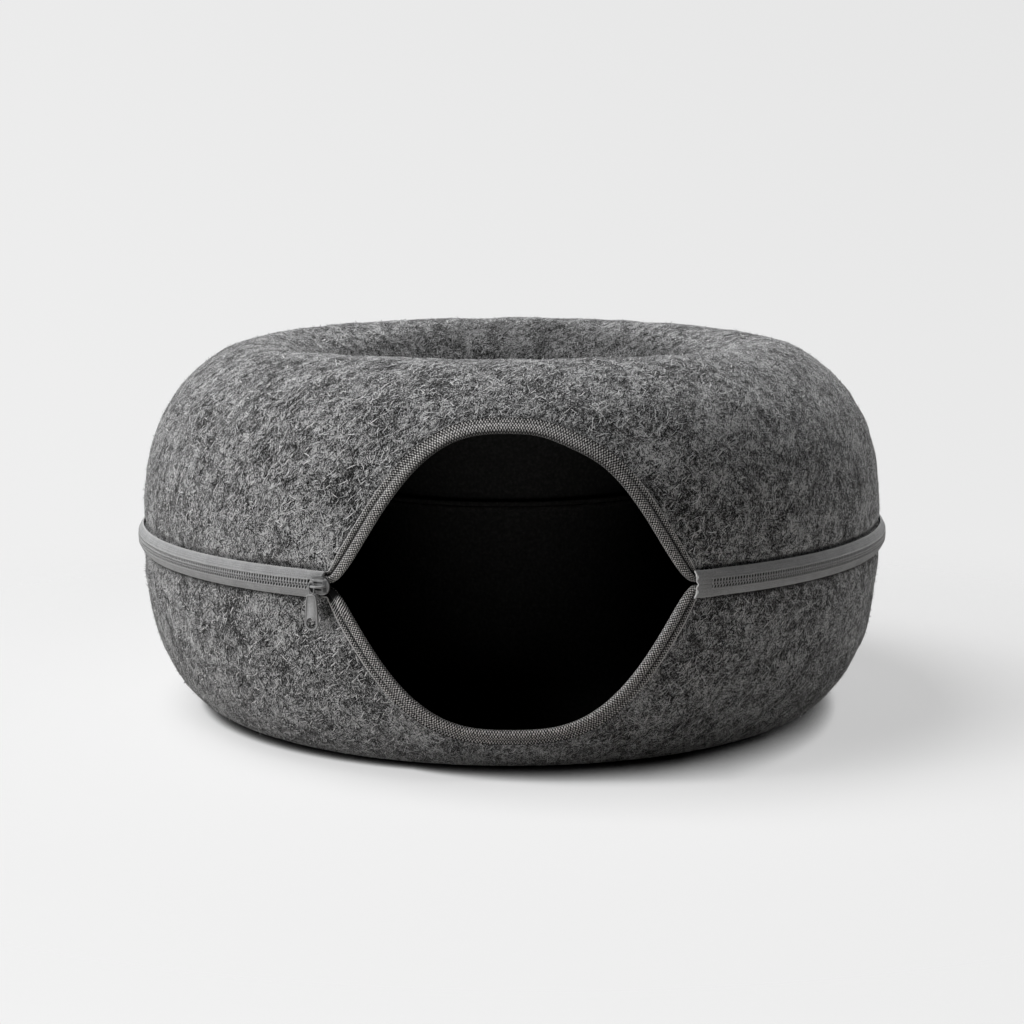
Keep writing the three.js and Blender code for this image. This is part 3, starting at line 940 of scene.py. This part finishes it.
def binding_piece(half, blunt, selvedge_wide, lip_highlight_shares, under_lip_shade):
    """The tape folded over the edge; a blunt one has a ribbed roll that stops short at the left."""
    angle, along, radius, inward, distance = bound_edge(half)
    faces_wide = face_width(angle)
    deep = creasing(angle)
    rolled = ease(distance, *BLUNT_END)
    plump = PLUMP * bell(distance, PLUMP_PLACE, PLUMP_REACH)
    swell = rolled + plump if blunt else np.ones(len(distance))
    sections = np.array([binding_section(*row) for row in zip(faces_wide, deep, swell)])
    steps = np.linalg.norm(np.diff(sections, axis=1), axis=2)
    across = np.concatenate([np.zeros((len(angle), 1)), np.cumsum(steps, axis=1)], axis=1)
    way = unit(np.gradient(sections, axis=1))
    normal = np.stack([way[..., 1], -way[..., 0]], axis=-1)
    place = np.arange(sections.shape[1])
    angle, along, radius, distance, deep = (v[:, None] for v in (angle, along, radius, distance, deep))
    woven_across = across * (1 - WEAVE_COARSER * (1 - deep))
    weave = np.cos(np.pi * distance / WEAVE_ALONG) * np.cos(np.pi * woven_across / WEAVE_ACROSS)
    shown = place < FRONT_POINTS + BACK_POINTS - 2
    raised = sections - normal * (WEAVE_RELIEF * 0.5 * (1 + weave) * shown)[..., None]
    into, high = raised[..., 0], raised[..., 1]
    turn = inward[:, :1] * into / radius
    points, faces = loft(half.surface(angle + turn, along + inward[:, 1:] * into, high))
    front = place < FRONT_POINTS
    inset = sections[..., 0]
    ribbed = (1 - ease(distance, *RIBBED_END)) * blunt
    # Painted highlight along the lip, graded from the binding's left end to its right one
    lip = bell(inset, LIP_PLACE, LIP_WIDE) * between(*lip_highlight_shares, distance / distance[-1])
    # Painted shade in the crease, strongest towards the corners and less on the ribbed end
    painted_shade_spot = bell(inset - CREASE_SHARE * faces_wide[:, None], CREASE_SHIFT, CREASE_WIDE)
    crease = painted_shade_spot * (between(CREASE_LEAST, 1, deep) - RIBBED_CREASE * ribbed).clip(0)
    # Painted shade under the lip, towards the crown
    under = under_lip_shade * (1 - deep) * bell(inset, UNDER_PLACE, LIP_WIDE)
    # Painted shade on the thin end of the blunt roll
    thin_end_shade = blunt * (1 - rolled)[:, None]
    marks = {
        "along": np.broadcast_to(distance, across.shape),
        "across": woven_across,
        "crease": np.maximum(crease, np.maximum(under, thin_end_shade)) * front,
        "selvedge": front * (across < selvedge_wide) * deep,
        "lip": lip * front,
        "ribbed": np.broadcast_to(ribbed, across.shape),
    }
    name, node = f"{half.name}_binding", f"opening_binding_{half.name}"
    return piece(name, points, faces, [BINDING], marks, node)


def stitch_piece(half):
    """The row of stitches near the binding's outer edge, which shows away from the corners."""
    angle, along, radius, inward, _ = bound_edge(half)
    into = face_width(angle) - STITCH_INSET
    sewn_angle = angle + inward[:, 0] * into / radius
    sewn_along = along + inward[:, 1] * into
    path = half.surface(sewn_angle, sewn_along, STITCH_HIGH)
    off = path - half.surface(sewn_angle, sewn_along, -1.0)
    lengths = path_lengths(path)
    pitch = STITCH_LENGTH + STITCH_GAP
    sewn = lengths[np.abs(angle) < STITCH_SHARE * CORNER_ANGLE]
    share = np.linspace(0, 1, STITCH_POINTS)
    fullness = np.sqrt(np.sin(np.pi * np.clip(share, *STITCH_ENDS)))
    size = STITCH_RADIUS * between(STITCH_TIP, 1, fullness)
    section = rounded(1.0, 1.0, 2.0, STITCH_POINTS)[None] * size[:, None, None]
    dive = STITCH_DIVE * (2 * share[:, None] - 1) ** 4
    parts = []
    for i in range(int((sewn[-1] - sewn[0]) / pitch)):
        at = sewn[0] + i * pitch + STITCH_LENGTH * share
        rise = unit(on_path(at, lengths, off))
        parts.append(tube(on_path(at, lengths, path) - rise * dive, section, rise.mean(axis=0)))
    points, faces = joined(parts)
    # Stitches in the thread painted near-black as shade
    return piece(f"{half.name}_stitches", points, faces, [THREAD_IN_SHADE])


upper_stitches = stitch_piece(UPPER)
lower_stitches = stitch_piece(LOWER)
upper_binding = binding_piece(
    UPPER, blunt=False, selvedge_wide=1.2, lip_highlight_shares=(0.2, 0.0), under_lip_shade=0.7
)
lower_binding = binding_piece(
    LOWER, blunt=True, selvedge_wide=1.5, lip_highlight_shares=(0.5, 0.9), under_lip_shade=0.0
)


# Zip

# The tape's section, as distance from the middle line and height
TAPE_PROFILE = [
    (8.2, 0.45), (8.28, 0.85), (8.1, 1.3), (7.3, 1.95), (6.4, 2.55), (5.2, 3.15), (4.4, 3.42),
    (3.8, 3.62), (3.2, 3.85), (3.0, 3.86), (3.0, 2.9), (4.4, 2.5), (6.0, 1.7), (7.3, 0.95),
]
PROFILE_STEP = 0.45
TAPE_INNER_EDGE = 3.0
TAPE_MEET = 0.02
TAPE_MEET_ANGLES = (CORNER_ANGLE + 0.038, CORNER_ANGLE + 0.0425)
TAPE_RAISE = 1.5
TAPE_RAISE_ANGLES = (CORNER_ANGLE + 0.036, CORNER_ANGLE + 0.08)
TAPE_FINE = 26.0
TAPE_FINE_STEP = 0.55
TAPE_STATIONS = 330
UPPER_TAPE_LEFT = 114.5
LOWER_TAPE_LEFT = 118.5
SCALLOP_DEPTH = 0.75
SCALLOP_STEP = 4.4
TAPE_TAIL = 1.6
TAPE_TAIL_REACH = (6.6, 8.2)
TAPE_PULL_REACH = 1.5
TAPE_SLANT = 2.4
TAPE_SLANT_REACH = 2.0
CUT_END = (0.2, 0.85)


def tape_angles(left_end):
    """Stations round the zip from its right end to its left one, close together near both."""
    fine = np.arange(0, TAPE_FINE, TAPE_FINE_STEP)
    right = (TAPE_END + fine) / RING_RADIUS
    left = TWO_PI - (left_end + fine[::-1]) / RING_RADIUS
    middle = np.linspace(right[-1], left[0], TAPE_STATIONS)[1:-1]
    return np.concatenate([right, middle, left])


def tape_profile():
    profile = np.array(TAPE_PROFILE + TAPE_PROFILE[:1])
    lengths = path_lengths(profile)
    fine = [
        np.linspace(start, end, math.ceil((end - start) / PROFILE_STEP), endpoint=False)
        for start, end in zip(lengths[:-1], lengths[1:])
    ]
    return on_path(np.concatenate(fine), lengths, profile)


def tape_piece(half, left_end):
    """One tape, raised at the corners, with a scalloped right end and a slanted left one."""
    angles = tape_angles(left_end)[:, None]
    place, high = tape_profile().T
    near = to_middle(angles)
    raised = 1 - ease(near, *TAPE_RAISE_ANGLES)
    meeting = 1 - ease(near, *TAPE_MEET_ANGLES)
    outer_share = np.clip((place - TAPE_INNER_EDGE) / (TAPE_EDGE - TAPE_INNER_EDGE), 0, 1)
    at = place - (TAPE_INNER_EDGE - TAPE_MEET) * meeting * (1 - outer_share) ** 2
    lift = high + TAPE_RAISE * raised * outer_share
    from_right = angles * RING_RADIUS - TAPE_END
    scallop = SCALLOP_DEPTH * (1 + np.cos(TWO_PI * at / SCALLOP_STEP))
    tail = TAPE_TAIL * ease(place, *TAPE_TAIL_REACH)
    pulled = (scallop - tail) * np.exp(-from_right / TAPE_PULL_REACH)
    from_left = (TWO_PI - angles) * RING_RADIUS - left_end
    slant = TAPE_SLANT * outer_share**2 * np.exp(-from_left / TAPE_SLANT_REACH)
    points, faces = loft(half.surface(angles + (pulled + slant) / RING_RADIUS, at, lift))
    marks = {
        "across": np.broadcast_to(place, lift.shape),
        "cut": np.broadcast_to(1 - ease(from_right, *CUT_END), lift.shape),
    }
    name, node = f"{half.name}_zip_tape", f"zip_tape_{half.name}"
    made = piece(name, points, faces, [TAPE], marks, node)
    on_wall = place < TAPE_INNER_EDGE + TAPE_MEET
    wall = np.tile(on_wall & np.roll(on_wall, -1), len(angles) - 1)
    made.data.polygons.foreach_set("use_smooth", np.concatenate([~wall, [False, False]]))
    return made


upper_tape = tape_piece(UPPER, UPPER_TAPE_LEFT)
lower_tape = tape_piece(LOWER, LOWER_TAPE_LEFT)

CHAIN_START = CHAIN_RIGHT / RING_RADIUS
CHAIN_SPAN = TWO_PI - CHAIN_LEFT / RING_RADIUS - CHAIN_START
BED_SECTION = [(-2.92, 2.2), (2.92, 2.2), (2.92, 3.9), (-2.92, 3.9)]
BED_STATIONS = 420
# A tooth from its foot on the tape to its tip: distance from the middle line, half width, low and top
TOOTH_FOOT = [
    (3.45, 1.05, 3.88, 4.05), (3.05, 1.05, 3.88, 4.16), (2.75, 1.05, 3.60, 4.18),
    (2.50, 0.50, 3.60, 4.20),
]
UPPER_TIP = [
    (1.20, 0.46, 3.60, 4.26), (0.95, 0.92, 3.60, 4.30), (0.30, 0.92, 3.60, 4.32),
    (0.10, 0.60, 3.60, 4.30), (-0.70, 0.55, 3.60, 4.20),
]
LOWER_TIP = [(1.30, 0.46, 3.60, 4.26), (1.05, 0.98, 3.60, 4.30), (0.75, 0.95, 3.60, 4.28)]
TOOTH_RING = np.array([(1.0, -1.0), (1.0, 0.4), (0.8, 1.0), (-0.8, 1.0), (-1.0, 0.4), (-1.0, -1.0)])
TOOTH_ROWS = [
    {"side": 1, "offset": 0.25, "slant": 0.10, "tip": UPPER_TIP},
    {"side": -1, "offset": 0.75, "slant": 0.30, "tip": LOWER_TIP},
]


def on_band(angle, across, high):
    """Points on the outside of the zip, above its middle line or below it."""
    angle, across, high = np.broadcast_arrays(angle, across, high)
    above = UPPER.surface(angle, np.maximum(across, 0), high)
    below = LOWER.surface(angle, np.maximum(-across, 0), high)
    return np.where((across > 0)[..., None], above, below)


def chain_bed():
    angles = np.linspace(CHAIN_START, TWO_PI - CHAIN_LEFT / RING_RADIUS, BED_STATIONS)[:, None]
    points, faces = loft(on_band(angles, *np.array(BED_SECTION).T))
    # The bed is painted near-black as the shade between the teeth
    piece("zip_bed", points, faces, [CHAIN_BED_SHADE], None, "zip_chain")


def chain_teeth():
    count = int(CHAIN_SPAN * RING_RADIUS / TOOTH_PITCH)
    parts = []
    for row in TOOTH_ROWS:
        across, wide, low, top = np.array(TOOTH_FOOT + row["tip"]).T[..., None]
        high = (top + low) / 2 + (top - low) / 2 * TOOTH_RING[None, :, 1]
        across = row["side"] * across
        sideways = wide * TOOTH_RING[None, :, 0] + row["slant"] * across
        for i in range(count):
            at = CHAIN_START + CHAIN_SPAN * (i + row["offset"]) / count
            parts.append(loft(on_band(at + sideways / RING_RADIUS, across, high)))
    points, faces = joined(parts)
    piece("zip_teeth", points, faces, [TEETH])


chain_bed()
chain_teeth()


# Slider and pull, in a frame that runs along the zip, up, and off it

SLIDER_PLACE = -113.2
NOSE_RADIUS = 5.6
NOSE_TURN = 1.75
TAIL = -8.0
TAIL_HALF = 4.4
TAIL_CORNER = [(1.6, 0.0), (0.4, 0.5), (0.0, 1.6)]
NOSE_STEPS = 60
TAIL_STEPS = 50
PLATE_BOTTOM = 4.3
# The plate's rings: size, height and painted shade, the first ones being its rim; the unshaded ring of
# the rim reads as a painted highlight
PLATE_RINGS = [
    (0.96, 0.0, 0.9), (1.0, 0.35, 0.9), (1.0, 0.9, 0.8), (0.97, 1.25, 0.3), (0.92, 1.5, 0.0),
    (0.87, 1.65, 0.3), (0.78, 1.8, 0.5), (0.60, 2.0, 0.4), (0.30, 2.15, 0.35), (0.03, 2.2, 0.35),
]
RIM_RINGS = 6
FACE_RINGS = 26
# Painted shade on the plate as from, to, low, high and shade: two lines beside the bridge, a black patch
# under the pull's eye, a crescent before the bridge, and along the plate's upper edge
PLATE_SHADES = [
    (-5.0, 1.4, 1.5, 2.7, 1.0), (-6.0, 0.8, -2.8, -1.4, 1.0), (-8.4, -3.6, -4.6, 1.2, 1.0),
    (1.3, 4.0, -3.6, 3.6, 0.75), (-6.5, 2.4, 3.9, 6.5, 0.9),
]
SHADE_SOFT = 0.35
# The bridge's middle line, along the zip and off it
BRIDGE_LINE = [
    (2.9, 5.6), (2.3, 6.8), (1.2, 8.2), (-0.4, 9.2), (-2.2, 9.6), (-3.6, 9.45), (-4.5, 8.6),
    (-4.7, 7.2), (-4.7, 5.4),
]
BRIDGE_STATIONS = 40
BRIDGE_HALF_THICK = 0.62
BRIDGE_HALF_WIDE = 0.7
BRIDGE_SWELL = 0.75
BRIDGE_SWELL_REACH = (0.0, 0.25)
BRIDGE_WAIST = 0.2
BRIDGE_WAIST_REACH = (0.75, 0.9)
BRIDGE_POWER = 3.2
BRIDGE_SIDES = 14
PULL_PLACE = -5.2
PULL_HIGH = 8.3
PULL_HALF = 4.45
PULL_SIDE = [
    (PULL_HALF, -21.4), (4.36, -18.5), (4.15, -14.0), (3.8, -9.5), (3.35, -6.8), (2.85, -5.6),
    (1.9, -5.1), (0.9, -5.0),
]
PULL_STEPS = 30
HOLE_PLACE = -22.2
HOLE_RADIUS = 3.15
EYE_HALF = 1.75
EYE_PLACE = -1.2
EYE_RISE = 3.9
EYE_WIRE = 0.42
EYE_STEPS = 48
EYE_POWER = 2.6
WIRE_SIDES = 10
# Rows round the tab, from its back over the rim: distance in from the outline, height and painted shade
RIM_ROWS = [
    (0.25, -0.70, 0.6), (0.0, -0.45, 0.3), (0.0, 0.40, 0.0), (0.18, 0.64, 0.0), (0.45, 0.70, 0.0),
    (0.72, 0.62, 0.1), (0.95, 0.42, 0.45), (1.25, 0.45, 0.27),
]
# Rows round the hole, from the face to the back: distance out from the hole, height and painted shade,
# darkest on the hole's wall
HOLE_ROWS = [
    (0.7, 0.45, 0.27), (0.5, 0.62, 0.0), (0.2, 0.62, 0.2), (0.0, 0.40, 0.85), (0.0, -0.45, 0.95),
    (0.25, -0.70, 0.95),
]


def on_slider(points):
    """Points of the slider's own frame, set on the zip."""
    angle = SLIDER_PLACE / RING_RADIUS
    origin = UPPER.surface(angle, 0.0, 0.0)
    along = [math.cos(angle), math.sin(angle), 0.0]
    off = [math.sin(angle), -math.cos(angle), 0.0]
    return origin + np.asarray(points) @ np.array([along, [0.0, 0.0, 1.0], off])


def within(value, low, high):
    """1 from low to high with soft ends."""
    begun = ease(value, low - SHADE_SOFT, low + SHADE_SOFT)
    return begun * (1 - ease(value, high - SHADE_SOFT, high + SHADE_SOFT))


def plate_outline():
    """The slider's plate: a round nose that runs back to a narrower tail with round corners."""
    turn = np.linspace(-NOSE_TURN, NOSE_TURN, NOSE_STEPS)
    nose = np.column_stack([NOSE_RADIUS * np.cos(turn), NOSE_RADIUS * np.sin(turn)])
    corner = [(TAIL + ahead, TAIL_HALF - inside) for ahead, inside in TAIL_CORNER]
    mirrored = [(x, -y) for x, y in corner[::-1]]
    tail = spline([nose[-1], *corner, *mirrored, nose[0]], TAIL_STEPS)[1:-1]
    return np.vstack([nose, tail])


def slider_plate():
    """The dished plate as points and faces, with painted shade at each point."""
    outline = plate_outline()
    sizes, highs, shades = np.array(PLATE_RINGS).T
    steps = np.arange(len(sizes))
    inner = np.linspace(sizes[RIM_RINGS], sizes[-1], FACE_RINGS)
    inner_steps = np.interp(-inner, -sizes[RIM_RINGS:], steps[RIM_RINGS:])
    place = np.concatenate([steps[:RIM_RINGS], inner_steps])
    rises = PLATE_BOTTOM + np.interp(place, steps, highs)
    all_sizes = np.concatenate([sizes[:RIM_RINGS], inner])
    plate = loft([level(outline * size, rise) for size, rise in zip(all_sizes, rises)])
    shade = np.repeat(np.interp(place, steps, shades), len(outline))
    along, up, _ = plate[0].T
    # Painted shade patches: lines by the bridge, a black patch under the eye, a crescent and the upper
    # edge
    for start, end, low, high, depth in PLATE_SHADES:
        shade = np.maximum(shade, depth * within(along, start, end) * within(up, low, high))
    return plate, shade


def slider_piece():
    plate, plate_shade = slider_plate()
    reach = np.linspace(0, 1, BRIDGE_STATIONS)
    half_width = BRIDGE_HALF_WIDE + BRIDGE_SWELL * ease(reach, *BRIDGE_SWELL_REACH)
    half_width -= BRIDGE_WAIST * ease(reach, *BRIDGE_WAIST_REACH)
    widths = np.stack([half_width, np.ones(BRIDGE_STATIONS)], axis=-1)[:, None]
    section = rounded(1.0, BRIDGE_HALF_THICK, BRIDGE_POWER, BRIDGE_SIDES)[None] * widths
    line = [(along, 0.0, off) for along, off in BRIDGE_LINE]
    bridge = tube(spline(line, BRIDGE_STATIONS), section, (0.0, 1.0, 0.0))
    points, faces = joined([plate, bridge])
    marks = {"shade": np.concatenate([plate_shade, np.zeros(len(bridge[0]))])}
    piece("zip_slider_body", on_slider(points), faces, [METAL], marks, "zip_slider")


def pull_outline():
    """The tab's outline: round below, its sides drawing in towards soft shoulders."""
    low = np.linspace(np.pi, TWO_PI, PULL_STEPS)
    round_end = np.column_stack([PULL_HALF * np.cos(low), HOLE_PLACE + PULL_HALF * np.sin(low)])
    right = spline(PULL_SIDE, PULL_STEPS)
    left = (right * [-1, 1])[::-1]
    return np.vstack([round_end, right, left])


def pull_piece():
    """The pull's tab with a raised rim and an eyelet, and its eye round the bridge."""
    outline = pull_outline()
    way = unit(np.roll(outline, -1, axis=0) - np.roll(outline, 1, axis=0))
    inward = np.column_stack([-way[:, 1], way[:, 0]])
    centre = np.array([0.0, HOLE_PLACE])
    towards = unit(outline - centre)
    rows = [level(outline + inward * inset, high) for inset, high, _ in RIM_ROWS]
    rows += [level(centre + towards * (HOLE_RADIUS + out), high) for out, high, _ in HOLE_ROWS]
    tab = loft(np.stack(rows, axis=1), closed_along=True)
    # Painted shade on the tab's back, a line inside the rim, its face and the hole's wall; the unshaded
    # rim reads as a painted highlight
    tab_shade = np.tile([shade for _, _, shade in RIM_ROWS + HOLE_ROWS], len(outline))
    eye_loops = [
        level(rounded(EYE_HALF + out, EYE_RISE + out, EYE_POWER, EYE_STEPS) + [0.0, EYE_PLACE], rise)
        for out, rise in rounded(EYE_WIRE, EYE_WIRE, 2.0, WIRE_SIDES)
    ]
    eye = loft(np.stack(eye_loops, axis=1), closed_along=True)
    points, faces = joined([tab, eye])
    marks = {"shade": np.concatenate([tab_shade, np.zeros(len(eye[0]))])}
    placed = on_slider(points + [PULL_PLACE, 0.0, PULL_HIGH])
    piece("zip_pull_tab", placed, faces, [METAL], marks, "zip_pull")


slider_piece()
pull_piece()


# Stage, in metres

FLOOR_RADIUS = 1.7
FLOOR_SIDES = 96
FLOOR_FADE = 0.36
FLOOR_GONE = 0.75
FLOOR_TONE = 0.44
# The floor's tone is painted darker on the left, where the lamps light it more, and lighter on the right
FLOOR_EVEN = 0.15
FLOOR_GLOW = 0.54
# How close to the bed the floor's painted contact shade reaches, from left to right, and how open it is
# where it turns black
CLOSE_LEFT = 0.008
CLOSE_RIGHT = 0.055
CLOSE_END = 0.014
WIDENING = (-0.06, 0.13)
NARROWING = (0.13, 0.22)
BLACK_PLACES = (0.08, 0.17)
BLACK_BELOW = (0.3, 0.1)
OPEN_ABOVE = 0.8
OPEN_SAMPLES = 8
CREVICE_SHADE = (0.05, 0.5)
BOUNCE_TONE = 0.5
BOUNCE_WARM = 0.03
BOUNCE_DROP = 0.0003
DOME_RADIUS = 7.0
DOME_ROWS = 25
DOME_COLUMNS = 48
DOME_HEIGHTS = (-4.5, 1.0)
DOME_TONES = (0.90, 0.812)
DOME_FALL = 0.02
LIGHT_DISTANCE = 2.4
LIGHT_SIZE = 1.3
LIGHT_LOWEST = 0.7
LIGHT_AIM = Vector((0.0, 0.0, 0.1))
# Lights: degrees from the front towards the right, degrees above the floor, watts, and if they light it
LIGHTS = [
    ("left_front", -60, 15, 28.5, True),
    ("left", -90, 40, 6.2, True),
    ("left_high", -90, 65, 40.0, True),
    ("left_back", -135, 15, 13.0, False),
    ("back", 180, 15, 8.0, False),
    ("back_high", 180, 60, 28.0, False),
    ("right_back", 135, 15, 13.0, False),
    ("right_back_high", 135, 40, 20.0, False),
    ("right", 95, 15, 7.0, False),
]


def stage_object(name, points, faces, material, unseen_by):
    """A piece of the stage that some kinds of ray pass by."""
    made = mesh_object(name, points, faces, [material])
    for ray in unseen_by:
        setattr(made, "visible_" + ray, False)
    return made


def bare_material(name):
    made = bpy.data.materials.new(name)
    made.use_nodes = True
    made.node_tree.nodes.clear()
    return made, made.node_tree


def show(shader, kind="OutputMaterial"):
    output = shader.tree.nodes.new("ShaderNode" + kind)
    shader.tree.links.new(shader.socket, output.inputs["Surface"])


def axis(place, name):
    return add(place.tree, "SeparateXYZ", {0: place}, name)


def disc(high):
    turn = np.linspace(0, TWO_PI, FLOOR_SIDES, endpoint=False)
    rim = [(FLOOR_RADIUS * math.cos(t), FLOOR_RADIUS * math.sin(t), high) for t in turn]
    faces = [[0, 1 + i, 1 + (i + 1) % FLOOR_SIDES] for i in range(FLOOR_SIDES)]
    return [(0.0, 0.0, high)] + rim, faces


def make_floor():
    """A pale disc that fades out towards the backdrop, with painted contact shade close to the bed and
    its tone painted darker on the left than on the right.
    """
    paper, tree = bare_material("floor_paper")
    place = object_place(tree)
    far = add(tree, "VectorMath", {0: place}, "Value", operation="LENGTH")
    limits = {"Value": far, "From Min": FLOOR_FADE, "From Max": FLOOR_GONE}
    fade = add(tree, "MapRange", limits, "Result", interpolation_type="SMOOTHSTEP")
    side = axis(place, "X")
    # Tone painted darker on the left and lighter on the right
    tones = (FLOOR_TONE * (1 - FLOOR_EVEN), FLOOR_TONE * (1 + FLOOR_EVEN))
    tone = side.remap(-FLOOR_FADE, FLOOR_FADE, *tones)
    widening = side.remap(*WIDENING, CLOSE_LEFT, CLOSE_RIGHT)
    narrowing = side.remap(*NARROWING, 0.0, CLOSE_RIGHT - CLOSE_END)
    # Painted contact shade from ambient occlusion, reaching further on the right, away from the lamps
    near = {"Distance": widening - narrowing}
    clearance = add(tree, "AmbientOcclusion", near, "AO", samples=OPEN_SAMPLES)
    open_share = clearance.remap(side.remap(*BLACK_PLACES, *BLACK_BELOW), OPEN_ABOVE)
    # Painted shade in the crevice under the bed, on the matt part
    matt = add(tree, "BsdfDiffuse", {"Color": clearance.remap(*CREVICE_SHADE) * tone})
    glow = add(tree, "Emission", {"Color": grey(1.0), "Strength": open_share * FLOOR_GLOW})
    both = add(tree, "AddShader", {0: matt, 1: glow})
    show(add(tree, "MixShader", {0: fade, 1: both, 2: add(tree, "BsdfTransparent")}))
    return stage_object("floor", *disc(0.0), paper, ("diffuse", "glossy", "shadow"))


def make_bounce():
    """The floor as the bed sees it, which throws light back up under the felt."""
    paper, tree = bare_material("bounce_paper")
    show(add(tree, "BsdfDiffuse", {"Color": grey(BOUNCE_TONE, BOUNCE_WARM)}))
    stage_object("bounce_floor", *disc(-BOUNCE_DROP), paper, ("camera", "glossy", "shadow"))


def make_backdrop():
    """A wide pale dome that only the camera sees."""
    paper, tree = bare_material("backdrop_paper")
    place = object_place(tree)
    reach = DOME_RADIUS / 4
    # Painted light: the backdrop's glow is brighter low down and on the left, the lamps' side
    rise = axis(place, "Z").remap(*DOME_HEIGHTS, *DOME_TONES)
    tone = rise + axis(place, "X").remap(-reach, reach, DOME_FALL, -DOME_FALL)
    show(add(tree, "Emission", {"Color": tone}))
    points = [
        DOME_RADIUS * Vector((math.cos(row) * math.cos(t), math.cos(row) * math.sin(t), math.sin(row)))
        for row in np.linspace(-np.pi / 2, np.pi / 2, DOME_ROWS)
        for t in np.linspace(0, TWO_PI, DOME_COLUMNS, endpoint=False)
    ]
    faces = grid_faces(DOME_ROWS, DOME_COLUMNS, False, True).tolist()
    rays = ("diffuse", "glossy", "transmission", "volume_scatter", "shadow")
    stage_object("backdrop", points, faces, paper, rays)


def make_light(floor):
    """Soft lamps all round, in a room that is otherwise dark; some are kept off the floor."""
    unlit = bpy.data.collections.new("unlit")
    unlit.objects.link(floor)
    unlit.collection_objects[0].light_linking.link_state = "EXCLUDE"
    world = bpy.data.worlds.new("studio")
    world.use_nodes = True
    world.node_tree.nodes.clear()
    night = {"Color": grey(0.0), "Strength": 0.0}
    show(add(world.node_tree, "Background", night), "OutputWorld")
    bpy.context.scene.world = world
    for name, from_front, above, power, on_floor in LIGHTS:
        turn = math.radians(from_front)
        way = Vector((math.sin(turn), -math.cos(turn), math.tan(math.radians(above)))).normalized()
        lamp = bpy.data.lights.new(name, "AREA")
        lamp.energy = power
        lamp.size = LIGHT_SIZE
        held = put(name, lamp)
        held.location = LIGHT_AIM + way * LIGHT_DISTANCE
        held.location.z = max(held.location.z, LIGHT_LOWEST)
        held.rotation_euler = (LIGHT_AIM - held.location).to_track_quat("-Z", "Y").to_euler()
        if not on_floor:
            held.light_linking.receiver_collection = unlit


shown_floor = make_floor()
make_bounce()
make_backdrop()
make_light(shown_floor)


# Camera

EYE = Vector((0.0, -1.4904, 0.3607))
LOOK_AT = Vector((0.0, -0.009, 0.1253))
LENS = 76.44
SENSOR = 36.0
lens = bpy.data.cameras.new("camera")
lens.lens = LENS
lens.sensor_width = SENSOR
camera = put("camera", lens)
camera.location = EYE
camera.rotation_euler = (LOOK_AT - EYE).to_track_quat("-Z", "Y").to_euler()
bpy.context.scene.camera = camera
bpy.context.scene.view_settings.view_transform = "Standard"
